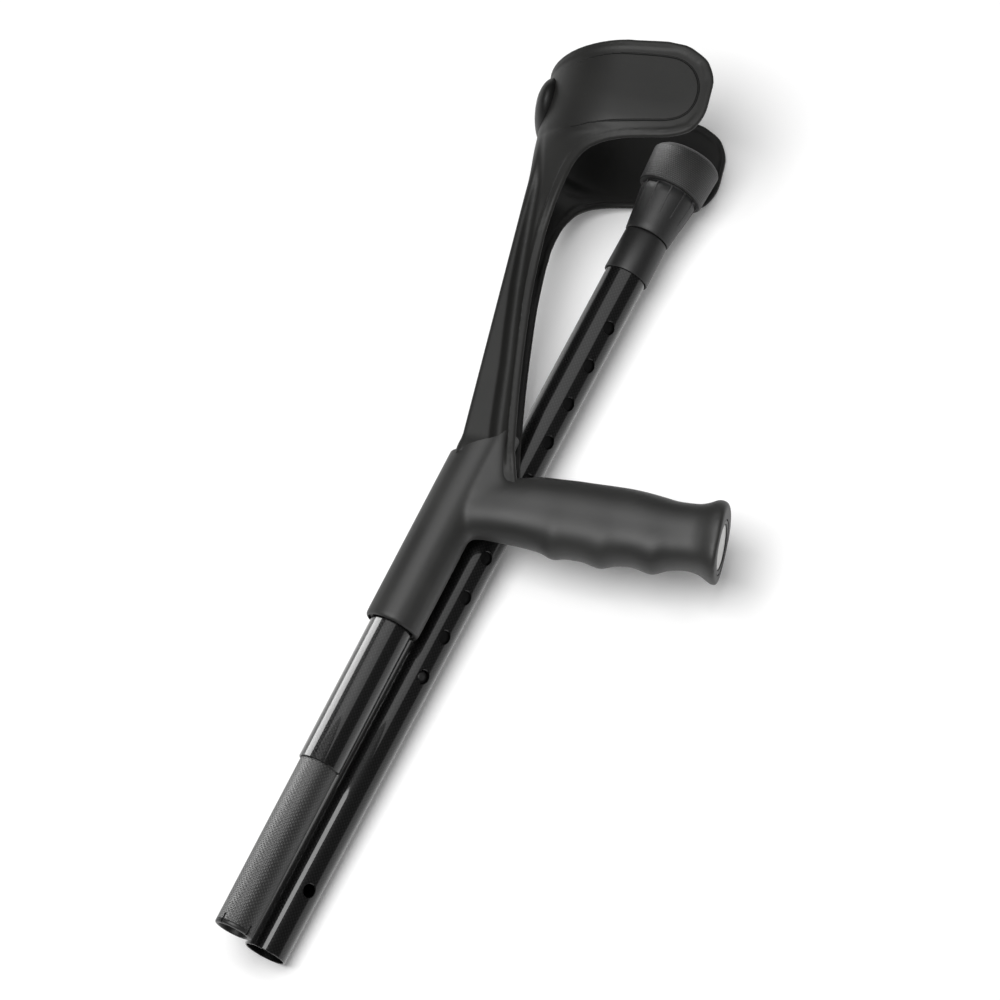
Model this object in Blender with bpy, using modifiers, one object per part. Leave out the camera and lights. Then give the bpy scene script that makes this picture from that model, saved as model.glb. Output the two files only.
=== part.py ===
"""A forearm crutch of carbon tube, taken apart for travel and lying on its side.

The upper part holds the arm cuff, its yoke, the handle, the upper tube and the spigot. The lower leg lies
beside it, pointing the same way, with its rubber foot between the two lobes of the cuff. All sizes are in
metres. The upper tube's frame has its origin at the centre of the spigot's open end, +Y along the tube to
the cuff, +X towards the handle and +Z to the side that faces up.
"""

import math
from collections import namedtuple

import bmesh
import bpy
from mathutils import Matrix, Vector

# Clearances
TOUCH_GAP = 0.0003
SLIDE_GAP = 0.00035
LEG_CLEARANCE = 0.0045
FOOT_CLEARANCE = 0.0019

# Carbon tubes
TUBE_RADIUS = 0.0120
TUBE_WALL = 0.0009
INNER_TUBE_WALL = 0.0009
SPIGOT_LENGTH = 0.1001
SPIGOT_HELD = 0.055
UPPER_TUBE_SHOWN = 0.0859
UPPER_TUBE_HELD = 0.104

# Spigot end
INSERT_COLLAR = 0.006
INSERT_NECK = 0.014
INSERT_WALL = 0.00135
INSERT_CHAMFER = 0.0008
INSERT_SLIT = 0.0010
INSERT_SLIT_DEPTH = 0.005
INSERT_SLITS = 4
INSERT_SLIT_TURN = math.radians(25.0)

# Grip
CORE_WALL = 0.0013
COVER_WALL = 0.0016
HANDLE_ABOVE_SLEEVE = 0.0795
HANDLE_TILT = math.radians(13.4)
HANDLE_CORE_RADIUS = 0.0115
HANDLE_CORE_WALL = 0.0017
HANDLE_HOLLOW_START = 0.0170
CORE_LIP = 0.002
CORE_TOP_DROP = 0.001
ROOT_INSET = 0.0011
END_RING_RADIUS = 0.0152
END_RING_WALL = 0.0024
END_RING_DEPTH = 0.0030
END_DISC_SINK = 0.0007
PIN_RADIUS = 0.0020
PIN_ABOVE_SLEEVE = 0.048

# Arm support
ARM_TILT = math.radians(12.9)
ARM_ABOVE_HANDLE = 0.0334
ARM_ROOT_INSET = 0.0006
ROOT_RISE = 0.0155
YOKE_LENGTH = 0.126
YOKE_INSET = 0.0015
YOKE_CORNER = 0.0040
CUFF_REACH = 0.0977
CUFF_WALL = 0.0025
CUFF_REAR_FLAT = 0.0020
FRONT_EASE_SHARE = 0.7
REFLECTOR_ABOVE_YOKE = 0.0788
BEZEL_SIZE = (0.0050, 0.0170, 0.0120)
BEZEL_SINK = 0.0005
REFLECTOR_SIZE = (0.0018, 0.0100, 0.0060)
REFLECTOR_OUT = 0.0033

# Lower leg
MOUTH_HEIGHT = 0.0013
LEG_BESIDE_ANGLE = math.radians(-65.8)
LEG_SLOPE_SIDE = 0.0133
LEG_SLOPE_RISE = 0.0066
LEG_TUBE_LENGTH = 0.4487
HOLE_RADIUS = 0.00375
HOLE_FACING = math.radians(47.5)
LOCK_HOLE = 0.0393
FIRST_HEIGHT_HOLE = 0.1718
HOLE_PITCH = 0.025
HEIGHT_HOLES = 10
COLLAR_HELD = 0.0177
COLLAR_SHOWN = 0.0085
COLLAR_WALL = 0.0008
COLLAR_TAPER = 0.0004
INNER_TUBE_HIDDEN = 0.020
GLIDE_LENGTH = 0.0035
GLIDE_NECK = 0.013
GUIDE_DEPTH = 0.018
GUIDE_LENGTH = 0.010
GUIDE_HOLE = 0.003

# Rubber foot
BARREL_LENGTH = 0.0295
BARREL_WALL = 0.0022
BARREL_TAPER = 0.00315
FOOT_LENGTH = 0.0245
FOOT_RADIUS = 0.0200
FOOT_TAPER = 0.0010
FOOT_EDGE = 0.0045
FOOT_EDGE_SWELL = 0.0033
FOOT_EDGE_RISE = 0.0018
FOOT_SHOULDER_IN = 0.0006
FOOT_SHOULDER_DOWN = 0.0004
FERRULE_BORE_DEPTH = 0.0445
WASHER_THICKNESS = 0.0015

# Spring buttons
BUTTON_TRAVEL = 0.0033
BUTTON_OUT = 0.0030
BUTTON_DOME = 0.0012
BUTTON_CROWN_WIDTH = 0.6
BUTTON_CROWN_DROP = 0.25
BUTTON_FLANGE_RADIUS = 0.0046
BUTTON_FLANGE = 0.0008
LEAF_THICKNESS = 0.0006
LEAF_HALF_WIDTH = 0.0034
LEAF_LENGTH = 0.030
LEAF_OVERLAP = 0.006

# Fold
FOLD_ENTRY_GAP = 0.0023
SHOULDER_GAP = 0.0005

ROUND_STEPS = 32
SMALL_STEPS = 16
HANDLE_POINTS = 20
WEB_POINTS = 1
CORNER_POINTS = 6
SIDE_POINTS = 4
BEND_STEPS = 8
SHARPEST_MITRE = 0.3
CUT_REACH = 0.01

# Sizes that follow from the ones above
TUBE_BORE = TUBE_RADIUS - TUBE_WALL
SPIGOT_RADIUS = TUBE_BORE - SLIDE_GAP
SPIGOT_BORE = SPIGOT_RADIUS - INNER_TUBE_WALL
INSERT_BORE = SPIGOT_BORE - TOUCH_GAP - INSERT_WALL
CORE_BORE = TUBE_RADIUS + TOUCH_GAP
CORE_RADIUS = CORE_BORE + CORE_WALL
SLEEVE_RADIUS = CORE_RADIUS + TOUCH_GAP + COVER_WALL
ROOT_HALF_THICKNESS = SLEEVE_RADIUS - ROOT_INSET
YOKE_HALF_WIDTH = SLEEVE_RADIUS - YOKE_INSET
SLEEVE_START = SPIGOT_LENGTH + UPPER_TUBE_SHOWN
UPPER_TUBE_END = SLEEVE_START + UPPER_TUBE_HELD
HANDLE_HEIGHT = SLEEVE_START + HANDLE_ABOVE_SLEEVE
ARM_ROOT = Vector((ARM_ROOT_INSET - SLEEVE_RADIUS, HANDLE_HEIGHT + ARM_ABOVE_HANDLE, 0.0))
SLEEVE_TOP = ARM_ROOT.y + ROOT_RISE
BUTTON_RADIUS = HOLE_RADIUS - SLIDE_GAP
COLLAR_START = LEG_TUBE_LENGTH - COLLAR_HELD
COLLAR_END = LEG_TUBE_LENGTH + COLLAR_SHOWN
COLLAR_BORE = TUBE_RADIUS + TOUCH_GAP
COLLAR_RADIUS = COLLAR_BORE + COLLAR_WALL
FERRULE_BORE = SPIGOT_RADIUS + TOUCH_GAP
BARREL_TOP_RADIUS = FERRULE_BORE + BARREL_WALL
BARREL_LOW_RADIUS = BARREL_TOP_RADIUS + BARREL_TAPER
FOOT_TOP_RADIUS = FOOT_RADIUS - FOOT_TAPER
FERRULE_START = COLLAR_END + TOUCH_GAP
FOOT_START = FERRULE_START + BARREL_LENGTH
LEG_END = FOOT_START + FOOT_LENGTH
BORE_END = FERRULE_START + FERRULE_BORE_DEPTH
WASHER_START = BORE_END - TOUCH_GAP - WASHER_THICKNESS
INNER_TUBE_START = FIRST_HEIGHT_HOLE - INNER_TUBE_HIDDEN
INNER_TUBE_END = WASHER_START - TOUCH_GAP

LEG_SPACING = SLEEVE_RADIUS + TUBE_RADIUS + LEG_CLEARANCE
LEG_MOUTH = Vector(
    (LEG_SPACING * math.cos(LEG_BESIDE_ANGLE), MOUTH_HEIGHT, LEG_SPACING * math.sin(LEG_BESIDE_ANGLE))
)
LEG_DIRECTION = Vector((LEG_SLOPE_SIDE, 1.0, LEG_SLOPE_RISE)).normalized()
FOOT_CENTRE = LEG_MOUTH + FOOT_START * LEG_DIRECTION
CUFF_HALF_WIDTH = FOOT_RADIUS - FOOT_CENTRE.z + FOOT_CLEARANCE + CUFF_WALL

# Half section of the handle at a distance from the tube's axis: above, below and to each side
HandleStation = namedtuple("HandleStation", "along above below side")
HANDLE_STATIONS = [
    HandleStation(0.004, 0.0150, 0.0150, 0.0120),
    HandleStation(0.012, 0.0172, 0.0195, ROOT_HALF_THICKNESS),
    HandleStation(0.020, 0.0176, 0.0176, ROOT_HALF_THICKNESS),
    HandleStation(0.032, 0.0183, 0.0180, ROOT_HALF_THICKNESS),
    HandleStation(0.044, 0.0211, 0.0190, 0.0148),
    HandleStation(0.051, 0.0216, 0.0200, 0.0151),
    HandleStation(0.058, 0.0221, 0.0222, 0.0152),
    HandleStation(0.066, 0.0225, 0.0208, 0.0152),
    HandleStation(0.073, 0.0227, 0.0210, 0.0152),
    HandleStation(0.085, 0.0232, 0.0224, 0.0152),
    HandleStation(0.095, 0.0233, 0.0196, 0.0151),
    HandleStation(0.103, 0.0229, 0.0186, 0.0150),
    HandleStation(0.113, 0.0218, 0.0206, 0.0148),
    HandleStation(0.124, 0.0204, 0.0166, 0.0146),
    HandleStation(0.131, 0.0210, 0.0155, 0.0150),
    HandleStation(0.137, 0.0226, 0.0160, 0.0166),
    HandleStation(0.1425, 0.0252, 0.0190, 0.0186),
    HandleStation(0.1455, 0.0246, 0.0201, 0.0190),
    HandleStation(0.1475, 0.0225, 0.0196, 0.0184),
]
HANDLE_LENGTH = HANDLE_STATIONS[-1].along
HANDLE_ROUNDNESS = 2.3

# Sections of the arm support: height on its rear line and at its front edge, reach and spread of its sides
ArmStation = namedtuple("ArmStation", "rear front reach spread")
YOKE_STATIONS = [
    ArmStation(-0.0100, 0.0090, 0.0315, 0.0),
    ArmStation(0.14 * YOKE_LENGTH, 0.19 * YOKE_LENGTH, 0.0294, 0.0),
    ArmStation(0.44 * YOKE_LENGTH, 0.48 * YOKE_LENGTH, 0.0247, 0.0),
    ArmStation(0.74 * YOKE_LENGTH, 0.77 * YOKE_LENGTH, 0.0217, 0.0),
    ArmStation(0.95 * YOKE_LENGTH, 0.97 * YOKE_LENGTH, 0.0216, 0.01),
]
FLARE_STATIONS = [
    ArmStation(0.0093, 0.0103, 0.0225, 0.11),
    ArmStation(0.0233, 0.0273, 0.0255, 0.36),
    ArmStation(0.0333, 0.0393, 0.0310, 0.61),
    ArmStation(0.0423, 0.0463, 0.0390, 0.80),
    ArmStation(0.0513, 0.0483, 0.0540, 0.94),
]
LOBE_STATIONS = [
    ArmStation(0.0593, 0.0532, 0.815 * CUFF_REACH, 1.0),
    ArmStation(0.0663, 0.0600, 0.949 * CUFF_REACH, 1.0),
    ArmStation(0.0743, 0.0723, CUFF_REACH, 1.0),
    ArmStation(0.0823, 0.0863, 0.993 * CUFF_REACH, 1.0),
    ArmStation(0.0893, 0.0988, 0.942 * CUFF_REACH, 1.0),
    ArmStation(0.0953, 0.1071, 0.837 * CUFF_REACH, 1.0),
    ArmStation(0.0973, 0.1087, 0.732 * CUFF_REACH, 1.0),
]

# Where the hard moulding meets the soft cover, on the arm's side view
PARTING_LINE = [
    (-0.0100, -0.0200),
    (0.0019, -0.0123),
    (0.0400, 0.0124),
    (0.0600, 0.1000),
    (-0.0100, 0.1000),
]


def clear_scene():
    for found in list(bpy.data.objects):
        bpy.data.objects.remove(found)


def new_collection(name):
    made = bpy.data.collections.new(name)
    bpy.context.scene.collection.children.link(made)
    return made


def finish(name, colour, roughness, metallic=0.0):
    made = bpy.data.materials.new(name)
    made.use_nodes = True
    shader = made.node_tree.nodes["Principled BSDF"]
    shader.inputs["Base Color"].default_value = (*colour, 1.0)
    shader.inputs["Roughness"].default_value = roughness
    shader.inputs["Metallic"].default_value = metallic
    return made


def empty(name, parent=None, matrix=None):
    made = bpy.data.objects.new(name, None)
    crutch_pieces.objects.link(made)
    made.empty_display_size = 0.02
    made.parent = parent
    if matrix is not None:
        made.matrix_local = matrix
    return made


def place(name, mesh, parent, material=None, helper=False, matrix=None):
    """Put a mesh in the scene as a piece, or as a helper that cuts or joins pieces."""
    made = bpy.data.objects.new(name, mesh)
    (cutters if helper else crutch_pieces).objects.link(made)
    made.parent = parent
    if matrix is not None:
        made.matrix_local = matrix
    if helper:
        made.hide_render = True
        made.display_type = "WIRE"
    if material is not None:
        mesh.materials.append(material)
    return made


def turned(name, profile, parent, material=None, helper=False, matrix=None, steps=ROUND_STEPS):
    """Turn a profile of (radius, height) points about Z. The first and last points are joined, unless both
    lie on the axis."""
    work = bmesh.new()
    points = [work.verts.new((radius, 0.0, height)) for radius, height in profile]
    for first, second in zip(points, points[1:]):
        work.edges.new((first, second))
    if profile[0][0] > 0.0:
        work.edges.new((points[-1], points[0]))
    mesh = bpy.data.meshes.new(name)
    work.to_mesh(mesh)
    work.free()
    made = place(name, mesh, parent, material, helper, matrix)
    screw = made.modifiers.new("Turn", "SCREW")
    screw.steps = steps
    screw.render_steps = steps
    screw.use_merge_vertices = True
    screw.merge_threshold = 0.00001
    return made


def pipe(outer, inner, low, high):
    """Profile of a plain ring, down its outer side and up its bore."""
    return [(outer, high), (outer, low), (inner, low), (inner, high)]


def rod(radius, low, high):
    """Profile of a solid rod."""
    return [(0.0, high), (radius, high), (radius, low), (0.0, low)]


def boolean(target, operation, other, solver="EXACT"):
    modifier = target.modifiers.new(operation.title(), "BOOLEAN")
    modifier.operation = operation
    modifier.solver = solver
    modifier.object = other
    return modifier


def across(centre, direction):
    """Matrix of a piece whose Z axis points along direction and whose origin is at centre."""
    return Matrix.Translation(centre) @ Vector(direction).to_track_quat("Z", "Y").to_matrix().to_4x4()


def loft(rings, closed_rings=True):
    """Mesh over a list of rings that have the same number of points, closed at both ends if the rings are."""
    work = bmesh.new()
    grid = [[work.verts.new(point) for point in ring] for ring in rings]
    count = len(rings[0])
    spans = count if closed_rings else count - 1
    for low, high in zip(grid, grid[1:]):
        for index in range(spans):
            after = (index + 1) % count
            work.faces.new((low[index], low[after], high[after], high[index]))
    if closed_rings:
        work.faces.new(list(reversed(grid[0])))
        work.faces.new(grid[-1])
        bmesh.ops.recalc_face_normals(work, faces=work.faces)
    bmesh.ops.triangulate(work, faces=work.faces)
    mesh = bpy.data.meshes.new("Loft")
    work.to_mesh(mesh)
    work.free()
    return mesh


def prism(outline, half_depth):
    """Mesh of an outline in the XY plane, thickened to both sides."""
    rings = [[(x, y, side * half_depth) for x, y in outline] for side in (-1.0, 1.0)]
    return loft(rings)


def offset_outline(outline, distance):
    """Outline moved outwards by a distance. Its points run anticlockwise."""
    moved = []
    count = len(outline)
    for index in range(count):
        here = Vector(outline[index])
        before = (here - Vector(outline[index - 1])).normalized()
        after = (Vector(outline[(index + 1) % count]) - here).normalized()
        normal = Vector((before.y + after.y, -before.x - after.x)).normalized()
        reach = distance / max(SHARPEST_MITRE, normal.dot(Vector((before.y, -before.x))))
        moved.append((here + reach * normal)[:])
    return moved


def between(low, high, share):
    return low + (high - low) * share


def handle_ring(station):
    """One section of the handle, in the handle's frame: X along it, Y up its tall side."""
    power = 2.0 / HANDLE_ROUNDNESS
    ring = []
    for index in range(HANDLE_POINTS):
        angle = 2.0 * math.pi * index / HANDLE_POINTS
        rise = math.cos(angle)
        out = math.sin(angle)
        height = station.above if rise > 0.0 else station.below
        y = math.copysign(height * abs(rise) ** power, rise)
        z = math.copysign(station.side * abs(out) ** power, out)
        ring.append((station.along, y, z))
    return ring


def arm_section(station, lift, grow):
    """One U section of the arm support, from one front edge round the rear to the other, in the arm's frame:
    X forward from the rear line, Y up it."""
    half_width = between(YOKE_HALF_WIDTH, CUFF_HALF_WIDTH, station.spread) + grow
    corner = between(YOKE_CORNER, CUFF_HALF_WIDTH - CUFF_REAR_FLAT, station.spread)
    corner = min(corner, station.reach - YOKE_CORNER / 2.0, half_width - CUFF_REAR_FLAT) + grow
    flat = half_width - corner
    half = [(-grow, flat * index / WEB_POINTS) for index in range(WEB_POINTS)]
    for index in range(CORNER_POINTS + 1):
        turn = 0.5 * math.pi * index / CORNER_POINTS
        half.append((corner - grow - corner * math.cos(turn), flat + corner * math.sin(turn)))
    straight = station.reach + grow - (corner - grow)
    for index in range(1, SIDE_POINTS + 1):
        half.append((corner - grow + straight * index / SIDE_POINTS, half_width))
    last = len(half) - 1
    path = [(x, -z, index / last) for index, (x, z) in reversed(list(enumerate(half)))]
    path += [(x, z, index / last) for index, (x, z) in enumerate(half) if index > 0]
    section = []
    for x, z, share in path:
        ease = min(1.0, share / FRONT_EASE_SHARE)
        ease = ease * ease * (3.0 - 2.0 * ease)
        section.append((x, lift + between(station.rear, station.front, ease), z))
    return section


def arm_sheet(grow=0.0):
    """Outer surface of the arm support, from the foot of the yoke to the top of the cuff."""
    rings = [arm_section(station, 0.0, grow) for station in YOKE_STATIONS]
    rings += [arm_section(station, YOKE_LENGTH, grow) for station in FLARE_STATIONS + LOBE_STATIONS]
    return loft(rings, closed_rings=False)


def thicken(target, thickness):
    modifier = target.modifiers.new("Wall", "SOLIDIFY")
    modifier.thickness = thickness
    modifier.offset = -1.0
    modifier.use_even_offset = True
    return modifier


def ellipsoid(name, sizes, centre, parent, material=None, helper=False):
    work = bmesh.new()
    bmesh.ops.create_uvsphere(work, u_segments=SMALL_STEPS, v_segments=SMALL_STEPS // 2, radius=1.0)
    bmesh.ops.scale(work, vec=sizes, verts=work.verts)
    mesh = bpy.data.meshes.new(name)
    work.to_mesh(mesh)
    work.free()
    return place(name, mesh, parent, material, helper, Matrix.Translation(centre))


def ring_of(count, start=0.0):
    return [start + 2.0 * math.pi * index / count for index in range(count)]


def build_tubes():
    """The upper tube with its pin, and the spigot with its slotted end."""
    upper_profile = pipe(TUBE_RADIUS, TUBE_BORE, SPIGOT_LENGTH, UPPER_TUBE_END)
    upper = turned("upper_tube", upper_profile, upper_axis, carbon)
    pin_height = SLEEVE_START + PIN_ABOVE_SLEEVE
    pin_place = across((0.0, 0.0, pin_height), (0.0, 1.0, 0.0))
    pin_hole = turned(
        "pin_hole", rod(PIN_RADIUS + TOUCH_GAP, -SLEEVE_RADIUS, SLEEVE_RADIUS), upper_axis, None, True,
        pin_place, SMALL_STEPS,
    )
    pin_end = CORE_RADIUS - TOUCH_GAP
    turned("sleeve_pin", rod(PIN_RADIUS, -pin_end, pin_end), upper_axis, steel, False, pin_place, SMALL_STEPS)
    boolean(upper, "DIFFERENCE", pin_hole)

    spigot_profile = pipe(SPIGOT_RADIUS, SPIGOT_BORE, INSERT_COLLAR + TOUCH_GAP, SPIGOT_LENGTH + SPIGOT_HELD)
    spigot = turned("spigot_tube", spigot_profile, upper_axis, satin_carbon)
    neck = SPIGOT_BORE - TOUCH_GAP
    insert_end = INSERT_COLLAR + INSERT_NECK
    insert_profile = [
        (neck, insert_end), (neck, INSERT_COLLAR), (SPIGOT_RADIUS, INSERT_COLLAR),
        (SPIGOT_RADIUS, INSERT_CHAMFER), (SPIGOT_RADIUS - INSERT_CHAMFER, 0.0), (INSERT_BORE, 0.0),
        (INSERT_BORE, insert_end),
    ]
    insert = turned("spigot_insert", insert_profile, upper_axis, black_plastic)
    half_slit = INSERT_SLIT / 2
    slit_outline = [
        (0.0, -half_slit), (SPIGOT_RADIUS + CUT_REACH, -half_slit), (SPIGOT_RADIUS + CUT_REACH, half_slit),
        (0.0, half_slit),
    ]
    for number, angle in enumerate(ring_of(INSERT_SLITS, INSERT_SLIT_TURN)):
        slot = prism(slit_outline, INSERT_SLIT_DEPTH)
        cutter = place(f"slit_{number}", slot, upper_axis, None, True, Matrix.Rotation(angle, 4, "Z"))
        boolean(insert, "DIFFERENCE", cutter)
    return spigot, pin_hole


def build_grip(pin_hole):
    """The hard arm support with its hidden cores, the soft cover over them, and the handle's end."""
    handle_frame = empty(
        "handle_axis", crutch_frame,
        Matrix.Translation((0.0, HANDLE_HEIGHT, 0.0)) @ Matrix.Rotation(HANDLE_TILT, 4, "Z"),
    )
    arm_place = Matrix.Translation(ARM_ROOT) @ Matrix.Rotation(ARM_TILT, 4, "Z")
    arm_frame = empty("arm_axis", crutch_frame, arm_place)
    handle_mesh = loft([handle_ring(station) for station in HANDLE_STATIONS])
    along_handle = across((0.0, 0.0, 0.0), (1.0, 0.0, 0.0))
    parting = place("parting", prism(PARTING_LINE, CUFF_HALF_WIDTH), arm_frame, None, True)
    grown = prism(offset_outline(PARTING_LINE, TOUCH_GAP), CUFF_HALF_WIDTH)
    parting_cut = place("parting_cut", grown, arm_frame, None, True)
    sleeve_form = turned("sleeve_form", rod(SLEEVE_RADIUS, SLEEVE_START, SLEEVE_TOP), upper_axis, None, True)

    root_form = place("root_form", handle_mesh.copy(), handle_frame, None, True)
    boolean(root_form, "UNION", sleeve_form)
    boolean(root_form, "INTERSECT", parting)
    core_profile = rod(CORE_RADIUS, SLEEVE_START + CORE_LIP, SLEEVE_TOP - CORE_TOP_DROP)
    core_form = turned("core_form", core_profile, upper_axis, None, True)
    recess = HANDLE_LENGTH - END_RING_DEPTH - TOUCH_GAP
    handle_core = turned(
        "handle_core", rod(HANDLE_CORE_RADIUS, 0.0, recess), handle_frame, None, True, along_handle,
        SMALL_STEPS,
    )
    hollow_profile = rod(HANDLE_CORE_RADIUS - HANDLE_CORE_WALL, HANDLE_HOLLOW_START, HANDLE_LENGTH)
    handle_hollow = turned(
        "handle_hollow", hollow_profile, handle_frame, None, True, along_handle, SMALL_STEPS
    )
    tube_bore = turned("tube_bore", rod(CORE_BORE, 0.0, UPPER_TUBE_END + TOUCH_GAP), upper_axis, None, True)

    arm = place("arm_support", arm_sheet(), arm_frame, moulding)
    thicken(arm, CUFF_WALL)
    for joined in (root_form, core_form, handle_core):
        boolean(arm, "UNION", joined)
    for removed in (tube_bore, handle_hollow, pin_hole):
        boolean(arm, "DIFFERENCE", removed)

    cover = place("grip_cover", handle_mesh, handle_frame, soft_grip)
    core_bore = turned(
        "core_bore", rod(CORE_RADIUS + TOUCH_GAP, 0.0, SLEEVE_TOP + CUT_REACH), upper_axis, None, True
    )
    bore_profile = rod(HANDLE_CORE_RADIUS + TOUCH_GAP, 0.0, HANDLE_LENGTH + CUT_REACH)
    handle_bore = turned(
        "handle_bore", bore_profile, handle_frame, None, True, along_handle, SMALL_STEPS
    )
    recess_profile = rod(END_RING_RADIUS + TOUCH_GAP, recess, HANDLE_LENGTH + CUT_REACH)
    end_recess = turned("end_recess", recess_profile, handle_frame, None, True, along_handle)
    boolean(cover, "UNION", sleeve_form, "MANIFOLD")
    for removed in (parting_cut, core_bore, handle_bore, end_recess):
        boolean(cover, "DIFFERENCE", removed, "MANIFOLD")

    ring_start = recess + TOUCH_GAP
    ring_bore = END_RING_RADIUS - END_RING_WALL
    turned("grip_end_ring", pipe(END_RING_RADIUS, ring_bore, ring_start, HANDLE_LENGTH), handle_frame,
           black_plastic, False, along_handle)
    disc_profile = rod(ring_bore - TOUCH_GAP, ring_start, HANDLE_LENGTH - END_DISC_SINK)
    turned("grip_end_disc", disc_profile, handle_frame, pale_metal, False, along_handle)
    build_reflector(arm_frame)


def build_reflector(arm_frame):
    """The oval seat on the rear of the cuff and the inset in it."""
    seat = place("reflector_seat", arm_sheet(TOUCH_GAP), arm_frame, None, True)
    thicken(seat, 4 * CUFF_WALL)
    height = YOKE_LENGTH + REFLECTOR_ABOVE_YOKE
    bezel = ellipsoid("reflector_bezel", BEZEL_SIZE, (BEZEL_SINK, height, 0.0), arm_frame, moulding)
    boolean(bezel, "DIFFERENCE", seat)
    pocket_size = [size + TOUCH_GAP for size in REFLECTOR_SIZE]
    pocket = ellipsoid("reflector_pocket", pocket_size, (-REFLECTOR_OUT, height, 0.0), arm_frame, None, True)
    boolean(bezel, "DIFFERENCE", pocket)
    ellipsoid("reflector", REFLECTOR_SIZE, (-REFLECTOR_OUT, height, 0.0), arm_frame, grey_plastic)


def build_leg():
    """The leg tube with its rows of holes, and its end collar."""
    leg = turned("leg_tube", pipe(TUBE_RADIUS, TUBE_BORE, 0.0, LEG_TUBE_LENGTH), leg_axis, carbon)
    lock = turned(
        "lock_hole", rod(HOLE_RADIUS, -2 * TUBE_RADIUS, 2 * TUBE_RADIUS), leg_axis, None, True,
        across((0.0, 0.0, LOCK_HOLE), (1.0, 0.0, 0.0)), SMALL_STEPS,
    )
    boolean(leg, "DIFFERENCE", lock)
    for index in range(HEIGHT_HOLES):
        height = FIRST_HEIGHT_HOLE + index * HOLE_PITCH
        hole = turned(
            f"height_hole_{index}", rod(HOLE_RADIUS, 0.0, 2 * TUBE_RADIUS), leg_axis, None, True,
            across((0.0, 0.0, height), (1.0, 0.0, 0.0)), SMALL_STEPS,
        )
        boolean(leg, "DIFFERENCE", hole)
    step = LEG_TUBE_LENGTH + TOUCH_GAP
    collar_profile = [
        (COLLAR_RADIUS - COLLAR_TAPER, COLLAR_END), (COLLAR_RADIUS, COLLAR_START),
        (COLLAR_BORE, COLLAR_START), (COLLAR_BORE, step), (FERRULE_BORE, step), (FERRULE_BORE, COLLAR_END),
    ]
    turned("leg_collar", collar_profile, leg_axis, black_plastic)
    guide_profile = pipe(TUBE_BORE - TOUCH_GAP, GUIDE_HOLE, GUIDE_DEPTH, GUIDE_DEPTH + GUIDE_LENGTH)
    turned("leg_guide_plug", guide_profile, leg_axis, black_plastic)


def build_inner_leg():
    """The telescoping tube, its glide plug, the rubber foot and the washer in it."""
    inner = turned(
        "inner_tube", pipe(SPIGOT_RADIUS, SPIGOT_BORE, INNER_TUBE_START, INNER_TUBE_END), leg_axis, grey_metal
    )
    glide_start = INNER_TUBE_START - TOUCH_GAP - GLIDE_LENGTH
    neck_end = INNER_TUBE_START + GLIDE_NECK
    glide_profile = [
        (SPIGOT_BORE - TOUCH_GAP, neck_end), (SPIGOT_BORE - TOUCH_GAP, INNER_TUBE_START - TOUCH_GAP),
        (SPIGOT_RADIUS, INNER_TUBE_START - TOUCH_GAP), (SPIGOT_RADIUS, glide_start),
        (INSERT_BORE, glide_start), (INSERT_BORE, neck_end),
    ]
    turned("inner_tube_plug", glide_profile, leg_axis, black_plastic)
    ferrule_profile = [
        (0.0, LEG_END), (FOOT_RADIUS - FOOT_EDGE, LEG_END),
        (FOOT_RADIUS - FOOT_EDGE + FOOT_EDGE_SWELL, LEG_END - FOOT_EDGE_RISE),
        (FOOT_RADIUS, LEG_END - FOOT_EDGE), (FOOT_TOP_RADIUS, FOOT_START + FOOT_SHOULDER_DOWN),
        (FOOT_TOP_RADIUS - FOOT_SHOULDER_IN, FOOT_START),
        (BARREL_LOW_RADIUS, FOOT_START), (BARREL_TOP_RADIUS, FERRULE_START), (FERRULE_BORE, FERRULE_START),
        (FERRULE_BORE, BORE_END), (0.0, BORE_END),
    ]
    turned("ferrule", ferrule_profile, leg_axis, rubber)
    washer_profile = rod(SPIGOT_RADIUS, WASHER_START, WASHER_START + WASHER_THICKNESS)
    turned("ferrule_washer", washer_profile, leg_axis, steel)
    return inner


def build_button(name, tube, parent, height, facing):
    """A spring button in a tube of the spigot's size, pressed in. Its leaf moves with it, and the rest of the
    spring stays on the far wall. Facing is the direction in which it pops out, in the parent's frame."""
    turn = across((0.0, 0.0, height), facing)
    frame = empty(f"{name}_axis", parent, turn)
    hole_profile = rod(BUTTON_RADIUS + TOUCH_GAP, 0.0, 2 * TUBE_RADIUS)
    hole = turned(f"{name}_hole", hole_profile, frame, None, True, None, SMALL_STEPS)
    boolean(tube, "DIFFERENCE", hole)
    top = SPIGOT_RADIUS + BUTTON_OUT - BUTTON_TRAVEL
    flange_top = math.sqrt(SPIGOT_BORE**2 - BUTTON_FLANGE_RADIUS**2) - TOUCH_GAP - BUTTON_TRAVEL
    flange_low = flange_top - BUTTON_FLANGE
    profile = [
        (0.0, top), (BUTTON_CROWN_WIDTH * BUTTON_RADIUS, top - BUTTON_CROWN_DROP * BUTTON_DOME),
        (BUTTON_RADIUS, top - BUTTON_DOME), (BUTTON_RADIUS, flange_top), (BUTTON_FLANGE_RADIUS, flange_top),
        (BUTTON_FLANGE_RADIUS, flange_low), (0.0, flange_low),
    ]
    turned(f"{name}_button", profile, frame, black_plastic, False, None, SMALL_STEPS)
    along = turn.inverted().to_3x3() @ Vector((0.0, 0.0, 1.0))
    build_spring(name, frame, along, flange_low - TOUCH_GAP)


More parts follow.
